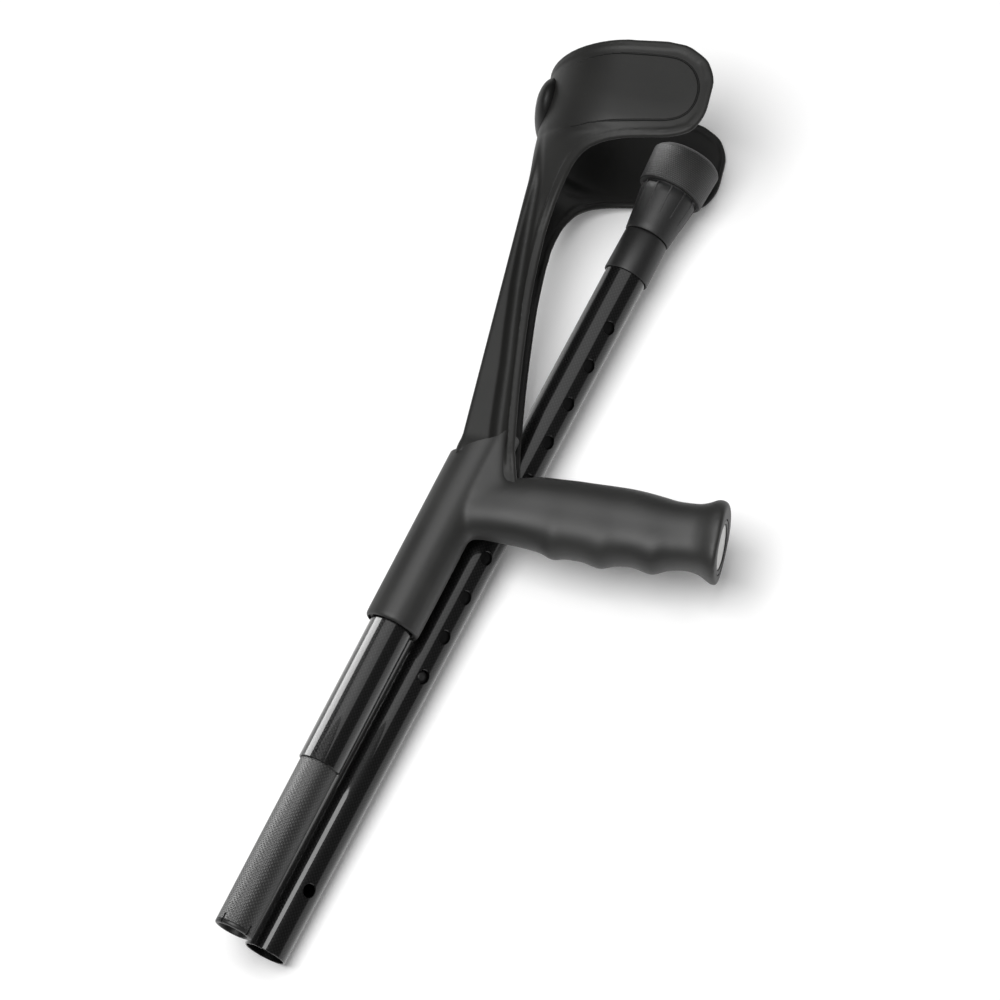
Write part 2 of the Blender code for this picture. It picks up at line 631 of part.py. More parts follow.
def build_spring(name, frame, along, leaf_top):
    """The leaf under the button, and the fixed part of the spring: a strip on the far wall and its bend.
    Along is the tube's direction in the button's frame."""
    side = along.cross(Vector((0.0, 0.0, 1.0)))
    leaf_mid = leaf_top - LEAF_THICKNESS / 2
    leaf_path = [(-LEAF_OVERLAP, leaf_mid), (LEAF_LENGTH, leaf_mid)]
    wall_drop = math.sqrt(SPIGOT_BORE**2 - LEAF_HALF_WIDTH**2) - TOUCH_GAP - LEAF_THICKNESS / 2
    bend_top = leaf_mid + BUTTON_TRAVEL
    bend_radius = (bend_top + wall_drop) / 2.0
    bend_start = LEAF_LENGTH + LEAF_THICKNESS
    bend_middle = (bend_top - wall_drop) / 2.0
    base_path = [(-LEAF_OVERLAP, -wall_drop), (LEAF_LENGTH / 2, -wall_drop)]
    for index in range(BEND_STEPS + 1):
        turn = math.pi * (index / BEND_STEPS - 0.5)
        run = bend_start + bend_radius * math.cos(turn)
        base_path.append((run, bend_middle + bend_radius * math.sin(turn)))
    for label, path in (("leaf", leaf_path), ("spring_base", base_path)):
        edges = []
        for across_share in (-1.0, 1.0):
            edges.append([
                run * along + Vector((0.0, 0.0, rise)) + across_share * LEAF_HALF_WIDTH * side
                for run, rise in path
            ])
        strip = place(f"{name}_{label}", loft(edges, closed_rings=False), frame, steel)
        modifier = thicken(strip, LEAF_THICKNESS)
        modifier.offset = 0.0


def fold_hinge():
    """Axis, angle and pivot of the turn that brings the leg's open end in line under the spigot. The foot
    first moves away from the upper tube."""
    tube = Vector((0.0, 1.0, 0.0))
    entry = Vector((0.0, -FOLD_ENTRY_GAP, 0.0))
    step = entry - LEG_MOUTH
    axis = (LEG_MOUTH - entry).cross(LEG_DIRECTION + tube).normalized()
    start = (LEG_DIRECTION - axis * axis.dot(LEG_DIRECTION)).normalized()
    end = (-tube + axis * axis.dot(tube)).normalized()
    angle = math.atan2(axis.dot(start.cross(end)), start.dot(end))
    if axis.cross(LEG_DIRECTION).dot(LEG_MOUTH - entry) < 0.0:
        axis = -axis
        angle = -angle
    angle %= 2.0 * math.pi
    pivot = (LEG_MOUTH + entry) / 2.0 + axis.cross(step) / (2.0 * math.tan(angle / 2.0))
    return axis, angle, pivot


def stand_on_floor():
    """Tilt the crutch until the leg's open end and the lower lobe lie on one level, then put the middle of
    its underside at the world's origin."""
    lobe_level = -CUFF_HALF_WIDTH
    lobe_place = ARM_ROOT.y + (YOKE_LENGTH + LOBE_STATIONS[0].front) * math.cos(ARM_TILT)
    lobe_place += LOBE_STATIONS[0].reach * math.sin(ARM_TILT)
    mouth_level = LEG_MOUTH.z - TUBE_RADIUS
    tilt = math.atan2(mouth_level - lobe_level, lobe_place - LEG_MOUTH.y)
    crutch_frame.rotation_euler = (tilt, 0.0, 0.0)
    bpy.context.view_layer.update()
    graph = bpy.context.evaluated_depsgraph_get()
    corners = []
    for piece in crutch_pieces.objects:
        if piece.type == "MESH":
            seen = piece.evaluated_get(graph)
            corners += [seen.matrix_world @ vertex.co for vertex in seen.data.vertices]
    middle = Vector((0.0, 0.0, min(point.z for point in corners)))
    for index in (0, 1):
        values = [point[index] for point in corners]
        middle[index] = (min(values) + max(values)) / 2.0
    crutch_frame.location = -middle


clear_scene()
crutch_pieces = new_collection("forearm_crutch")
cutters = new_collection("cutters")

carbon = finish("glossy_carbon", (0.012, 0.012, 0.011), 0.15)
satin_carbon = finish("satin_carbon", (0.07, 0.07, 0.068), 0.4)
moulding = finish("black_moulding", (0.028, 0.028, 0.027), 0.5)
soft_grip = finish("soft_grip", (0.045, 0.045, 0.044), 0.65)
black_plastic = finish("black_plastic", (0.015, 0.015, 0.015), 0.35)
grey_plastic = finish("grey_plastic", (0.10, 0.10, 0.10), 0.35)
rubber = finish("foot_rubber", (0.05, 0.05, 0.05), 0.75)
grey_metal = finish("grey_metal", (0.35, 0.35, 0.35), 0.35, 1.0)
pale_metal = finish("pale_metal", (0.55, 0.55, 0.54), 0.4, 1.0)
steel = finish("steel", (0.5, 0.5, 0.5), 0.3, 1.0)

crutch_frame = empty("crutch_frame")
upper_turn = across((0.0, 0.0, 0.0), (0.0, 1.0, 0.0))
upper_axis = empty("upper_axis", crutch_frame, upper_turn)

hole_side = Vector((math.cos(HOLE_FACING), 0.0, math.sin(HOLE_FACING)))
hole_side = (hole_side - LEG_DIRECTION * LEG_DIRECTION.dot(hole_side)).normalized()
leg_turn = Matrix((hole_side, LEG_DIRECTION.cross(hole_side), LEG_DIRECTION)).transposed().to_4x4()
fold_axis, fold_angle, fold_pivot = fold_hinge()
fold_turn = across(fold_pivot, fold_axis)
fold_frame = empty("fold_axis", crutch_frame, fold_turn)
leg_place = fold_turn.inverted() @ Matrix.Translation(LEG_MOUTH) @ leg_turn
leg_axis = empty("leg_axis", fold_frame, leg_place)

spigot_tube, sleeve_pin_hole = build_tubes()
build_grip(sleeve_pin_hole)
build_leg()
inner_leg = build_inner_leg()

lock_facing = -(Matrix.Rotation(fold_angle, 3, fold_axis) @ hole_side)
lock_facing = upper_turn.inverted().to_3x3() @ lock_facing
lock_facing.z = 0.0
lock_height = SPIGOT_LENGTH - SHOULDER_GAP - LOCK_HOLE
build_button("lock", spigot_tube, upper_axis, lock_height, lock_facing)
build_button("height", inner_leg, leg_axis, FIRST_HEIGHT_HOLE, (1.0, 0.0, 0.0))
stand_on_floor()
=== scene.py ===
"""The looks of a forearm crutch of carbon tube, taken apart for travel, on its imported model.

The upper part lies on the near side: arm cuff, yoke, handle, upper tube and spigot. The telescopic lower leg
lies under it with its rubber foot between the lobes of the cuff. Sizes are in metres. Three frames are used:
the tube's (Y up the tube, X towards the handle, Z to the side that faces up), the arm's and the leg's.
"""

import logging
import math
from collections.abc import Iterator, Sequence
from contextlib import contextmanager
from dataclasses import dataclass
from enum import Enum

import bpy
import numpy as np
from mathutils import Matrix, Vector


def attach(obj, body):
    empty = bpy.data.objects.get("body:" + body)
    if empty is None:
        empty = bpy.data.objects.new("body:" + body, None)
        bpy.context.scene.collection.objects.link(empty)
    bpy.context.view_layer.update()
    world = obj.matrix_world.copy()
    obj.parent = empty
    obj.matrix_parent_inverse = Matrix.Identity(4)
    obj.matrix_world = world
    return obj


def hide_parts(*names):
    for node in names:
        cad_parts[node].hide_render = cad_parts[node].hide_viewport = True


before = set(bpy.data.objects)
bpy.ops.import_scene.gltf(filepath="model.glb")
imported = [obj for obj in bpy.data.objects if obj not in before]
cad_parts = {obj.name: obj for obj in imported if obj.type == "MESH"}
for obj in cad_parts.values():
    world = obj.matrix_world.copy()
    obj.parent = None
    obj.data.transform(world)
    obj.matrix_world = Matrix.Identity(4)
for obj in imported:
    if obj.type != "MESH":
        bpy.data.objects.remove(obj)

LOG = logging.getLogger("crutch")
WRAP_MAP = "wrap"
PANEL_ATTRIBUTE = "panel_line"
NEAR_AXIS = 0.000004
MERGE_GAP = 2.0 * NEAR_AXIS

Colour = tuple[float, float, float]
Point = tuple[float, float, float]
Profile = Sequence[tuple[float, float]]
Table = Sequence[tuple[float, float, float, float]]
Piece = bpy.types.Object


# Places of the pieces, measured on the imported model


def towards(centre: Point, direction: Point) -> Matrix:
    """Gives a frame at a point whose Z axis points in a direction.

    Args:
        centre: Origin of the frame.
        direction: Where its Z axis points.

    Returns:
        The frame's matrix.
    """
    turn = Vector(direction).to_track_quat("Z", "Y").to_matrix().to_4x4()
    return Matrix.Translation(centre) @ turn


def axes(centre: Point, across: Point, along: Point) -> Matrix:
    """Gives a frame whose X axis is across and whose Z axis is along.

    Args:
        centre: Origin of the frame.
        across: Direction of its X axis.
        along: Direction of its Z axis.

    Returns:
        The frame's matrix.
    """
    z_axis = Vector(along).normalized()
    x_axis = Vector(across)
    x_axis = (x_axis - z_axis * z_axis.dot(x_axis)).normalized()
    turn = Matrix((x_axis, z_axis.cross(x_axis), z_axis)).transposed().to_4x4()
    return Matrix.Translation(centre) @ turn


ORIGIN = (0.0, 0.0, 0.0)
ALONG_X = towards(ORIGIN, (1.0, 0.0, 0.0))
ALONG_Y = towards(ORIGIN, (0.0, 1.0, 0.0))
# Turns X, Y and Z to Y, Z and X, so that a section drawn flat stands across the arm's back
SECTION_UP = Matrix(
    ((0.0, 0.0, 1.0, 0.0), (1.0, 0.0, 0.0, 0.0), (0.0, 1.0, 0.0, 0.0), (0.0, 0.0, 0.0, 1.0))
)
LIE_TILT = math.asin(0.018742)
HANDLE_TILT = math.radians(13.4)
ARM_TILT = math.radians(12.9)
TUBE_FRAME = Matrix.Translation((-0.040685, -0.272518, 0.041284)) @ Matrix.Rotation(LIE_TILT, 4, "X")
UPPER_FRAME = TUBE_FRAME @ ALONG_Y
HANDLE_FRAME = TUBE_FRAME @ Matrix.Translation((0.0, 0.2655, 0.0)) @ Matrix.Rotation(HANDLE_TILT, 4, "Z")
HANDLE_AXIS = HANDLE_FRAME @ ALONG_X
ARM_FRAME = TUBE_FRAME @ Matrix.Translation((-0.0149, 0.2989, 0.0)) @ Matrix.Rotation(ARM_TILT, 4, "Z")
LEG_FRAME = axes(
    (-0.027567, -0.270671, 0.012126), (0.675471, -0.027665, 0.736868), (0.013299, 0.99959, 0.025338)
)
LOCK_BUTTON_WAY = Vector((-0.999902, 0.000262, -0.013999))
ARM_IN_TUBE = TUBE_FRAME.inverted() @ ARM_FRAME
HANDLE_IN_TUBE = TUBE_FRAME.inverted() @ HANDLE_FRAME
HANDLE_AXIS_IN_TUBE = TUBE_FRAME.inverted() @ HANDLE_AXIS
OUTSIDE_TUBES = 0.02


class Body(Enum):
    """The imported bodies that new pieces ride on."""

    UPPER = "upper"
    LEG = "leg"
    FOOT = "foot"


class Solver(Enum):
    """Ways to work out a cut: EXACT for any mesh, MANIFOLD for a large closed one."""

    EXACT = "EXACT"
    MANIFOLD = "MANIFOLD"


# Shader maths


class Signal:
    """An output of a material's nodes. Arithmetic on values adds Math nodes."""

    def __init__(self, board: "Board", socket: bpy.types.NodeSocket) -> None:
        """Keeps the socket and the board that it is on."""
        self.board = board
        self.socket = socket

    def maths(self, operation: str, *others: "float | Signal", flip: bool = False) -> "Signal":
        """Adds one Math node.

        Args:
            operation: The node's operation.
            others: The other values.
            flip: True to put this value after the first other one.

        Returns:
            The node's result.
        """
        values = [self, *others]
        if flip:
            values[0], values[1] = values[1], values[0]
        inputs = dict(enumerate(values))
        return self.board.node("ShaderNodeMath", {"operation": operation}, inputs)

    def __add__(self, other: "float | Signal") -> "Signal":
        """Adds."""
        return self.maths("ADD", other)

    __radd__ = __add__

    def __sub__(self, other: "float | Signal") -> "Signal":
        """Subtracts."""
        return self.maths("SUBTRACT", other)

    def __rsub__(self, other: "float | Signal") -> "Signal":
        """Subtracts this value from another."""
        return self.maths("SUBTRACT", other, flip=True)

    def __mul__(self, other: "float | Signal") -> "Signal":
        """Multiplies."""
        return self.maths("MULTIPLY", other)

    __rmul__ = __mul__

    def __truediv__(self, other: "float | Signal") -> "Signal":
        """Divides."""
        return self.maths("DIVIDE", other)

    def __rtruediv__(self, other: "float | Signal") -> "Signal":
        """Divides another value by this one."""
        return self.maths("DIVIDE", other, flip=True)

    def __mod__(self, other: "float | Signal") -> "Signal":
        """Gives the remainder, which is never negative for a positive divisor."""
        return self.maths("FLOORED_MODULO", other)

    def __rmod__(self, other: "float | Signal") -> "Signal":
        """Gives the remainder of another value by this one."""
        return self.maths("FLOORED_MODULO", other, flip=True)

    def __lt__(self, other: "float | Signal") -> "Signal":
        """Gives 1 where this value is the smaller one."""
        return self.maths("LESS_THAN", other)

    def __gt__(self, other: "float | Signal") -> "Signal":
        """Gives 1 where this value is the larger one."""
        return self.maths("GREATER_THAN", other)

    def __abs__(self) -> "Signal":
        """Drops the sign."""
        return self.maths("ABSOLUTE")

    def floor(self) -> "Signal":
        """Rounds down."""
        return self.maths("FLOOR")

    def hump(self) -> "Signal":
        """Gives a round hump, from 0 to 1 and back, in every whole step."""
        return ((self % 1.0) * math.pi).maths("SINE")

    def rise(self, low: float, high: float) -> "Signal":
        """Goes smoothly from 0 at low to 1 at high.

        Args:
            low: Where the rise starts.
            high: Where it ends.

        Returns:
            The eased share.
        """
        inputs = {"Value": self, "From Min": low, "From Max": high}
        return self.board.node("ShaderNodeMapRange", {"interpolation_type": "SMOOTHSTEP"}, inputs)


class Board:
    """The nodes of one material with its Principled shader."""

    # The Mix node's colour sockets go by number, because they share their names with its others
    mix_share = 0
    mix_low = 6
    mix_high = 7
    mix_colour = 2

    def __init__(self, name: str) -> None:
        """Makes an empty material.

        Args:
            name: The material's name.
        """
        self.material = bpy.data.materials.new(name)
        self.material.use_nodes = True
        self.tree = self.material.node_tree
        self.shader = self.tree.nodes["Principled BSDF"]

    def node(
        self, kind: str, settings: dict | None = None, inputs: dict | None = None, output: int | str = 0
    ) -> Signal:
        """Adds any node.

        Args:
            kind: The node's type.
            settings: Its properties, set before its sockets.
            inputs: Values or signals of its sockets, by name or number.
            output: Name or number of the output that is wanted.

        Returns:
            The output as a signal.
        """
        made = self.tree.nodes.new(kind)
        for name, value in (settings or {}).items():
            setattr(made, name, value)
        for key, value in (inputs or {}).items():
            self.feed(made.inputs[key], value)
        return Signal(self, made.outputs[output])

    def feed(self, socket: bpy.types.NodeSocket, value: "float | Colour | Signal") -> None:
        """Links a signal to a socket, or writes a constant on it.

        Args:
            socket: The socket that takes the value.
            value: A signal or a constant.
        """
        if isinstance(value, Signal):
            self.tree.links.new(value.socket, socket)
        elif isinstance(value, tuple) and len(value) == 3 and socket.type == "RGBA":
            socket.default_value = (*value, 1.0)
        else:
            socket.default_value = value

    def place(self) -> Signal:
        """Gives the point on the piece, in metres."""
        return self.node("ShaderNodeTexCoord", output="Object")

    def wrap(self) -> tuple[Signal, Signal]:
        """Reads the UV map of a turned piece.

        Returns:
            The share of a turn round it and the metres along it.
        """
        spot = self.node("ShaderNodeUVMap", {"uv_map": WRAP_MAP})
        outputs = self.node("ShaderNodeSeparateXYZ", inputs={"Vector": spot}).socket.node.outputs
        return Signal(self, outputs["X"]), Signal(self, outputs["Y"])

    def attribute(self, name: str) -> Signal:
        """Reads a number that is stored on the mesh's points."""
        return self.node("ShaderNodeAttribute", {"attribute_name": name}, output="Fac")

    def noise(self, vector: Signal, scale: float, detail: float = 2.0, rough: float = 0.5) -> Signal:
        """Gives cloudy noise.

        Args:
            vector: The point.
            scale: Spots a metre.
            detail: Number of finer layers.
            rough: Strength of the finer layers.

        Returns:
            A value about 0.5.
        """
        inputs = {"Vector": vector, "Scale": scale, "Detail": detail, "Roughness": rough}
        return self.node("ShaderNodeTexNoise", inputs=inputs)

    def stretched(self, vector: Signal, scale: Point) -> Signal:
        """Stretches a pattern's coordinates."""
        return self.node("ShaderNodeMapping", {"vector_type": "POINT"}, {"Vector": vector, "Scale": scale})

    def mix(
        self, share: "float | Signal", low: "Colour | Signal", high: "Colour | Signal", blend: str = "MIX"
    ) -> Signal:
        """Blends two colours.

        Args:
            share: 0 gives the first colour and 1 the second.
            low: First colour.
            high: Second colour.
            blend: How the second colour is laid on the first.

        Returns:
            The blend.
        """
        settings = {"data_type": "RGBA", "blend_type": blend}
        inputs = {self.mix_share: share, self.mix_low: low, self.mix_high: high}
        return self.node("ShaderNodeMix", settings, inputs, self.mix_colour)

    def vary(self, level: float, *noises: tuple[Signal, float]) -> Signal:
        """Lets a level swing with noises, each about 0.5, so that its middle stays where it is.

        Args:
            level: The level in the middle.
            noises: Each noise with its full swing.

        Returns:
            The varied level.
        """
        total = level - sum(swing for _, swing in noises) / 2.0
        for noise, swing in noises:
            total = noise * swing + total
        return total

    def mottle(
        self, coarse: Signal, fine: Signal, share: float, ends: tuple[float, float], *colours: Colour
    ) -> Signal:
        """Spreads two colours over a piece by a coarse and a fine noise.

        Args:
            coarse: The coarse noise.
            fine: The fine noise.
            share: Weight of the coarse one.
            ends: Levels of the noise at which each colour is pure.
            colours: The two colours.

        Returns:
            The colour.
        """
        return self.mix((coarse * share + fine * (1.0 - share)).rise(*ends), *colours)

    def bump(self, height: Signal, distance: float) -> Signal:
        """Turns a height, as a share of a distance in metres, into a normal."""
        return self.node("ShaderNodeBump", inputs={"Height": height, "Distance": distance})

    def dress(self, **sockets: "float | Colour | Signal") -> bpy.types.Material:
        """Sets the shader's sockets.

        Args:
            sockets: Values by socket name, with _ for a space.

        Returns:
            The finished material.
        """
        for name, value in sockets.items():
            self.feed(self.shader.inputs[name.replace("_", " ")], value)
        return self.material


# Finishes


def grey(level: float, blue: float | None = None) -> Colour:
    """Gives a grey, which a lower blue value warms."""
    return (level, level, level if blue is None else blue)


@dataclass(frozen=True)
class CarbonWeave:
    """Woven carbon tube, with or without a clear coat."""

    name: str
    # over and under are one yarn in two tones: the yarns on top are painted lighter as a painted sheen
    over: Colour
    under: Colour
    roughness: float
    specular: float
    relief: float
    coat: float = 0.0
    coat_roughness: float = 0.02
    coat_index: float = 1.38
    yarns_around: int = 66
    yarn: float = 0.00112
    fuzz_spots: float = 2600.0
    fuzz_relief: float = 0.3
    gap_shade: Colour = grey(0.25)
    swell_share: float = 0.75
    fuzz_share: float = 0.5
    contrast: tuple[float, float] = (0.1, 1.1)
    cloud_spots: float = 60.0
    cloud_swing: float = 0.16

    def build(self) -> bpy.types.Material:
        """Builds a plain weave that runs round the tube, with a painted sheen on the yarns on top and
        painted shade towards the gaps between yarns.

        Returns:
            The material.
        """
        board = Board(self.name)
        around, along = board.wrap()
        warp = around * self.yarns_around
        weft = along / self.yarn
        on_top = ((warp.floor() + weft.floor()) % 2.0) < 0.5
        swell = on_top * warp.hump() + (1.0 - on_top) * weft.hump()
        fuzz = board.noise(board.place(), self.fuzz_spots, 3.0, 0.7)
        cloud = board.noise(board.place(), self.cloud_spots)
        # Painted sheen: the yarn on top takes the lighter colour, which stands in for light along its fibres
        face = board.mix(on_top, self.under, self.over)
        # Painted shade: each yarn darkens towards its edges and the gaps between yarns, broken up by fuzz of
        # random tone
        light = swell * self.swell_share + fuzz * self.fuzz_share
        shade = board.mix(light.rise(*self.contrast), self.gap_shade, grey(1.0))
        return board.dress(
            Base_Color=board.mix(1.0, face, shade, "MULTIPLY"),
            Roughness=board.vary(self.roughness, (cloud, self.cloud_swing)),
            Coat_Weight=self.coat,
            Coat_Roughness=self.coat_roughness,
            Coat_IOR=self.coat_index,
            Specular_IOR_Level=self.specular,
            Normal=board.bump(swell + fuzz * self.fuzz_relief, self.relief),
        )


@dataclass(frozen=True)
class MouldedPlastic:
    """Moulded plastic with a fine spark-eroded grain."""

    name: str
    low: Colour
    high: Colour
    roughness: float
    specular: float
    grain_spots: float
    grain_depth: float
    grain_swing: float = 0.16
    cloud_spots: float = 28.0
    cloud_swing: float = 0.1
    cloud_share: float = 0.7
    contrast: tuple[float, float] = (0.25, 0.75)
    grooved: bool = False
    groove_depth: float = 0.0006
    groove_floor: float = 0.0001
    groove_edge: float = 0.0008
    # Colour of the painted shade in the panel's groove
    groove_shade_colour: Colour = grey(0.002)
    groove_shade: float = 0.8

    def build(self) -> bpy.types.Material:
        """Builds the grain, soft cloudy colour and, for the cuff, the line of its panel, a groove with
        painted shade in it.

        Returns:
            The material.
        """
        board = Board(self.name)
        place = board.place()
        grain = board.noise(place, self.grain_spots, 2.0, 0.6)
        cloud = board.noise(place, self.cloud_spots, 3.0)
        colour = board.mottle(cloud, grain, self.cloud_share, self.contrast, self.low, self.high)
        height, depth = grain, self.grain_depth
        if self.grooved:
            gap = abs(board.attribute(PANEL_ATTRIBUTE))
            floor = 1.0 - gap.rise(self.groove_floor, self.groove_edge)
            height = grain * (self.grain_depth / self.groove_depth) - floor
            depth = self.groove_depth
            # Painted shade: the groove's floor is darkened, on top of its bump
            colour = board.mix(floor * self.groove_shade, colour, self.groove_shade_colour)
        return board.dress(
            Base_Color=colour,
            Roughness=board.vary(self.roughness, (grain, self.grain_swing), (cloud, self.cloud_swing)),
            Specular_IOR_Level=self.specular,
            Normal=board.bump(height, depth),
        )


@dataclass(frozen=True)
class SoftTouch:
    """Soft-touch rubber over a hard core."""

    name: str
    low: Colour
    high: Colour
    roughness: float
    specular: float = 0.5
    pore_spots: float = 3200.0
    pore_depth: float = 0.00004
    pore_swing: float = 0.1
    rub_spots: float = 22.0
    rub_swing: float = 0.14
    rub_share: float = 0.8
    contrast: tuple[float, float] = (0.3, 0.7)

    def build(self) -> bpy.types.Material:
        """Builds a satin skin with fine pores and slight rubbed patches.

        Returns:
            The material.
        """
        board = Board(self.name)
        place = board.place()
        pores = board.noise(place, self.pore_spots, 2.0, 0.7)
        rubbed = board.noise(place, self.rub_spots, 3.0, 0.6)
        return board.dress(
            Base_Color=board.mottle(rubbed, pores, self.rub_share, self.contrast, self.low, self.high),
            Roughness=board.vary(self.roughness, (rubbed, self.rub_swing), (pores, self.pore_swing)),
            Specular_IOR_Level=self.specular,
            Normal=board.bump(pores, self.pore_depth),
        )


@dataclass(frozen=True)
class PippedRubber:
    """Rubber of the foot, with rows of tiny pips round it."""

    name: str
    low: Colour
    high: Colour
    roughness: float
    relief: float = 0.00013
    pips_around: int = 104
    pip: float = 0.0011
    band_start: float = 0.4862
    band_run: float = 0.0008
    crumb_spots: float = 1500.0
    crumb_swing: float = 0.2
    crumb_share: float = 0.5
    # Strength of the painted highlight that lightens the tops of the pips
    crest_highlight: float = 0.8
    contrast: tuple[float, float] = (0.2, 1.2)

    def build(self) -> bpy.types.Material:
        """Builds the pips, which start at the edge of the foot, and a painted highlight that lightens their
        tops.

        Returns:
            The material.
        """
        board = Board(self.name)
        around, along = board.wrap()
        row = along / self.pip
        shift = (row.floor() % 2.0) * 0.5
        pips = (around * self.pips_around + shift).hump() * row.hump()
        crumbs = board.noise(board.place(), self.crumb_spots, 3.0, 0.7)
        band = along.rise(self.band_start, self.band_start + self.band_run)
        height = pips * band + crumbs * self.crumb_share
        return board.dress(
            # Painted highlight on the tops of the pips and painted shade in the hollows between them, mixed
            # with crumbs of random tone
            Base_Color=board.mix((height * self.crest_highlight).rise(*self.contrast), self.low, self.high),
            Roughness=board.vary(self.roughness, (crumbs, self.crumb_swing)),
            Normal=board.bump(height, self.relief),
        )


@dataclass(frozen=True)
class TurnedMetal:
    """Plain or anodised metal with fine turned lines."""

    name: str
    colour: Colour
    roughness: float
    shade: float = 0.72
    line_spots: float = 9000.0
    line_stretch: Point = (0.04, 1.0, 0.04)
    line_depth: float = 0.00001
    line_swing: float = 0.18
    stain_spots: float = 90.0
    stain_swing: float = 0.12
    stain_share: float = 0.5
    contrast: tuple[float, float] = (0.3, 0.7)

    def build(self) -> bpy.types.Material:
        """Builds fine lines, from noise that is drawn out across the tubes, and light stains.

        Returns:
            The material.
        """
        board = Board(self.name)
        place = board.place()
        lines = board.noise(board.stretched(place, self.line_stretch), self.line_spots, 1.0)
        stains = board.noise(place, self.stain_spots, 3.0)
        darker = tuple(value * self.shade for value in self.colour)
        return board.dress(
            Base_Color=board.mottle(stains, lines, self.stain_share, self.contrast, darker, self.colour),
            Metallic=1.0,
            Roughness=board.vary(self.roughness, (lines, self.line_swing), (stains, self.stain_swing)),
            Normal=board.bump(lines, self.line_depth),
        )


Recipe = CarbonWeave | MouldedPlastic | SoftTouch | PippedRubber | TurnedMetal


class Finish(Enum):
    """Every finish of the crutch, with its short name and its recipe."""

    GLOSSY_CARBON = (
        "glossy_carbon",
        CarbonWeave(
            "clear_coated_carbon",
            # The lighter over colour is a painted sheen on the yarns on top
            over=grey(0.010),
            under=grey(0.002),
            roughness=0.3,
            specular=0.12,
            relief=0.00003,
            coat=1.0,
        ),
    )
    SATIN_CARBON = (
        "satin_carbon",
        CarbonWeave(
            "bare_carbon",
            # The lighter over colour is a painted sheen on the yarns on top
            over=grey(0.045, 0.044),
            under=grey(0.022),
            roughness=0.42,
            specular=0.4,
            relief=0.00009,
            yarns_around=60,
        ),
    )
    MOULDING = (
        "moulding",
        MouldedPlastic(
            "cuff_moulding",
            low=grey(0.012, 0.0115),
            high=grey(0.018, 0.017),
            roughness=0.52,
            specular=0.3,
            grain_spots=1900.0,
            grain_depth=0.00005,
            grooved=True,
        ),
    )
    SOFT_GRIP = ("soft_grip", SoftTouch("soft_touch_cover", grey(0.016, 0.0155), grey(0.024, 0.023), 0.52))
    BLACK_PLASTIC = (
        "black_plastic",
        MouldedPlastic(
            "satin_black_plastic",
            low=grey(0.01),
            high=grey(0.018),
            roughness=0.42,
            specular=0.4,
            grain_spots=1300.0,
            grain_depth=0.00003,
        ),
    )
    GREY_PLASTIC = (
        "grey_plastic",
        MouldedPlastic(
            "grey_inset",
            low=grey(0.10),
            high=grey(0.14),
            roughness=0.4,
            specular=0.5,
            grain_spots=1500.0,
            grain_depth=0.00003,
        ),
    )
    # The high grey is the painted highlight on the tops of the pips
    FOOT_RUBBER = ("foot_rubber", PippedRubber("pimpled_rubber", grey(0.012), grey(0.05, 0.049), 0.52))
    GREY_METAL = ("grey_metal", TurnedMetal("anodised_tube", grey(0.022), 0.5))
    PALE_METAL = ("pale_metal", TurnedMetal("satin_disc", grey(0.62, 0.61), 0.45))
    STEEL = ("steel", TurnedMetal("spring_steel", grey(0.55, 0.54), 0.3))

    def __init__(self, slot: str, recipe: Recipe) -> None:
        """Keeps the slot's name and the recipe."""
        self.slot = slot
        self.recipe = recipe


class Palette:
    """Builds each finish once and puts it on pieces."""

    def __init__(self) -> None:
        """Starts with nothing built."""
        self.built: dict[Finish, bpy.types.Material] = {}

    def paint(self, piece: Piece, finish: Finish) -> None:
        """Gives a piece one finish all over.

        Args:
            piece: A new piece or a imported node.
            finish: The finish.
        """
        if finish not in self.built:
            self.built[finish] = finish.recipe.build()
        piece.data.materials.clear()
        piece.data.materials.append(self.built[finish])


# Hand work on meshes


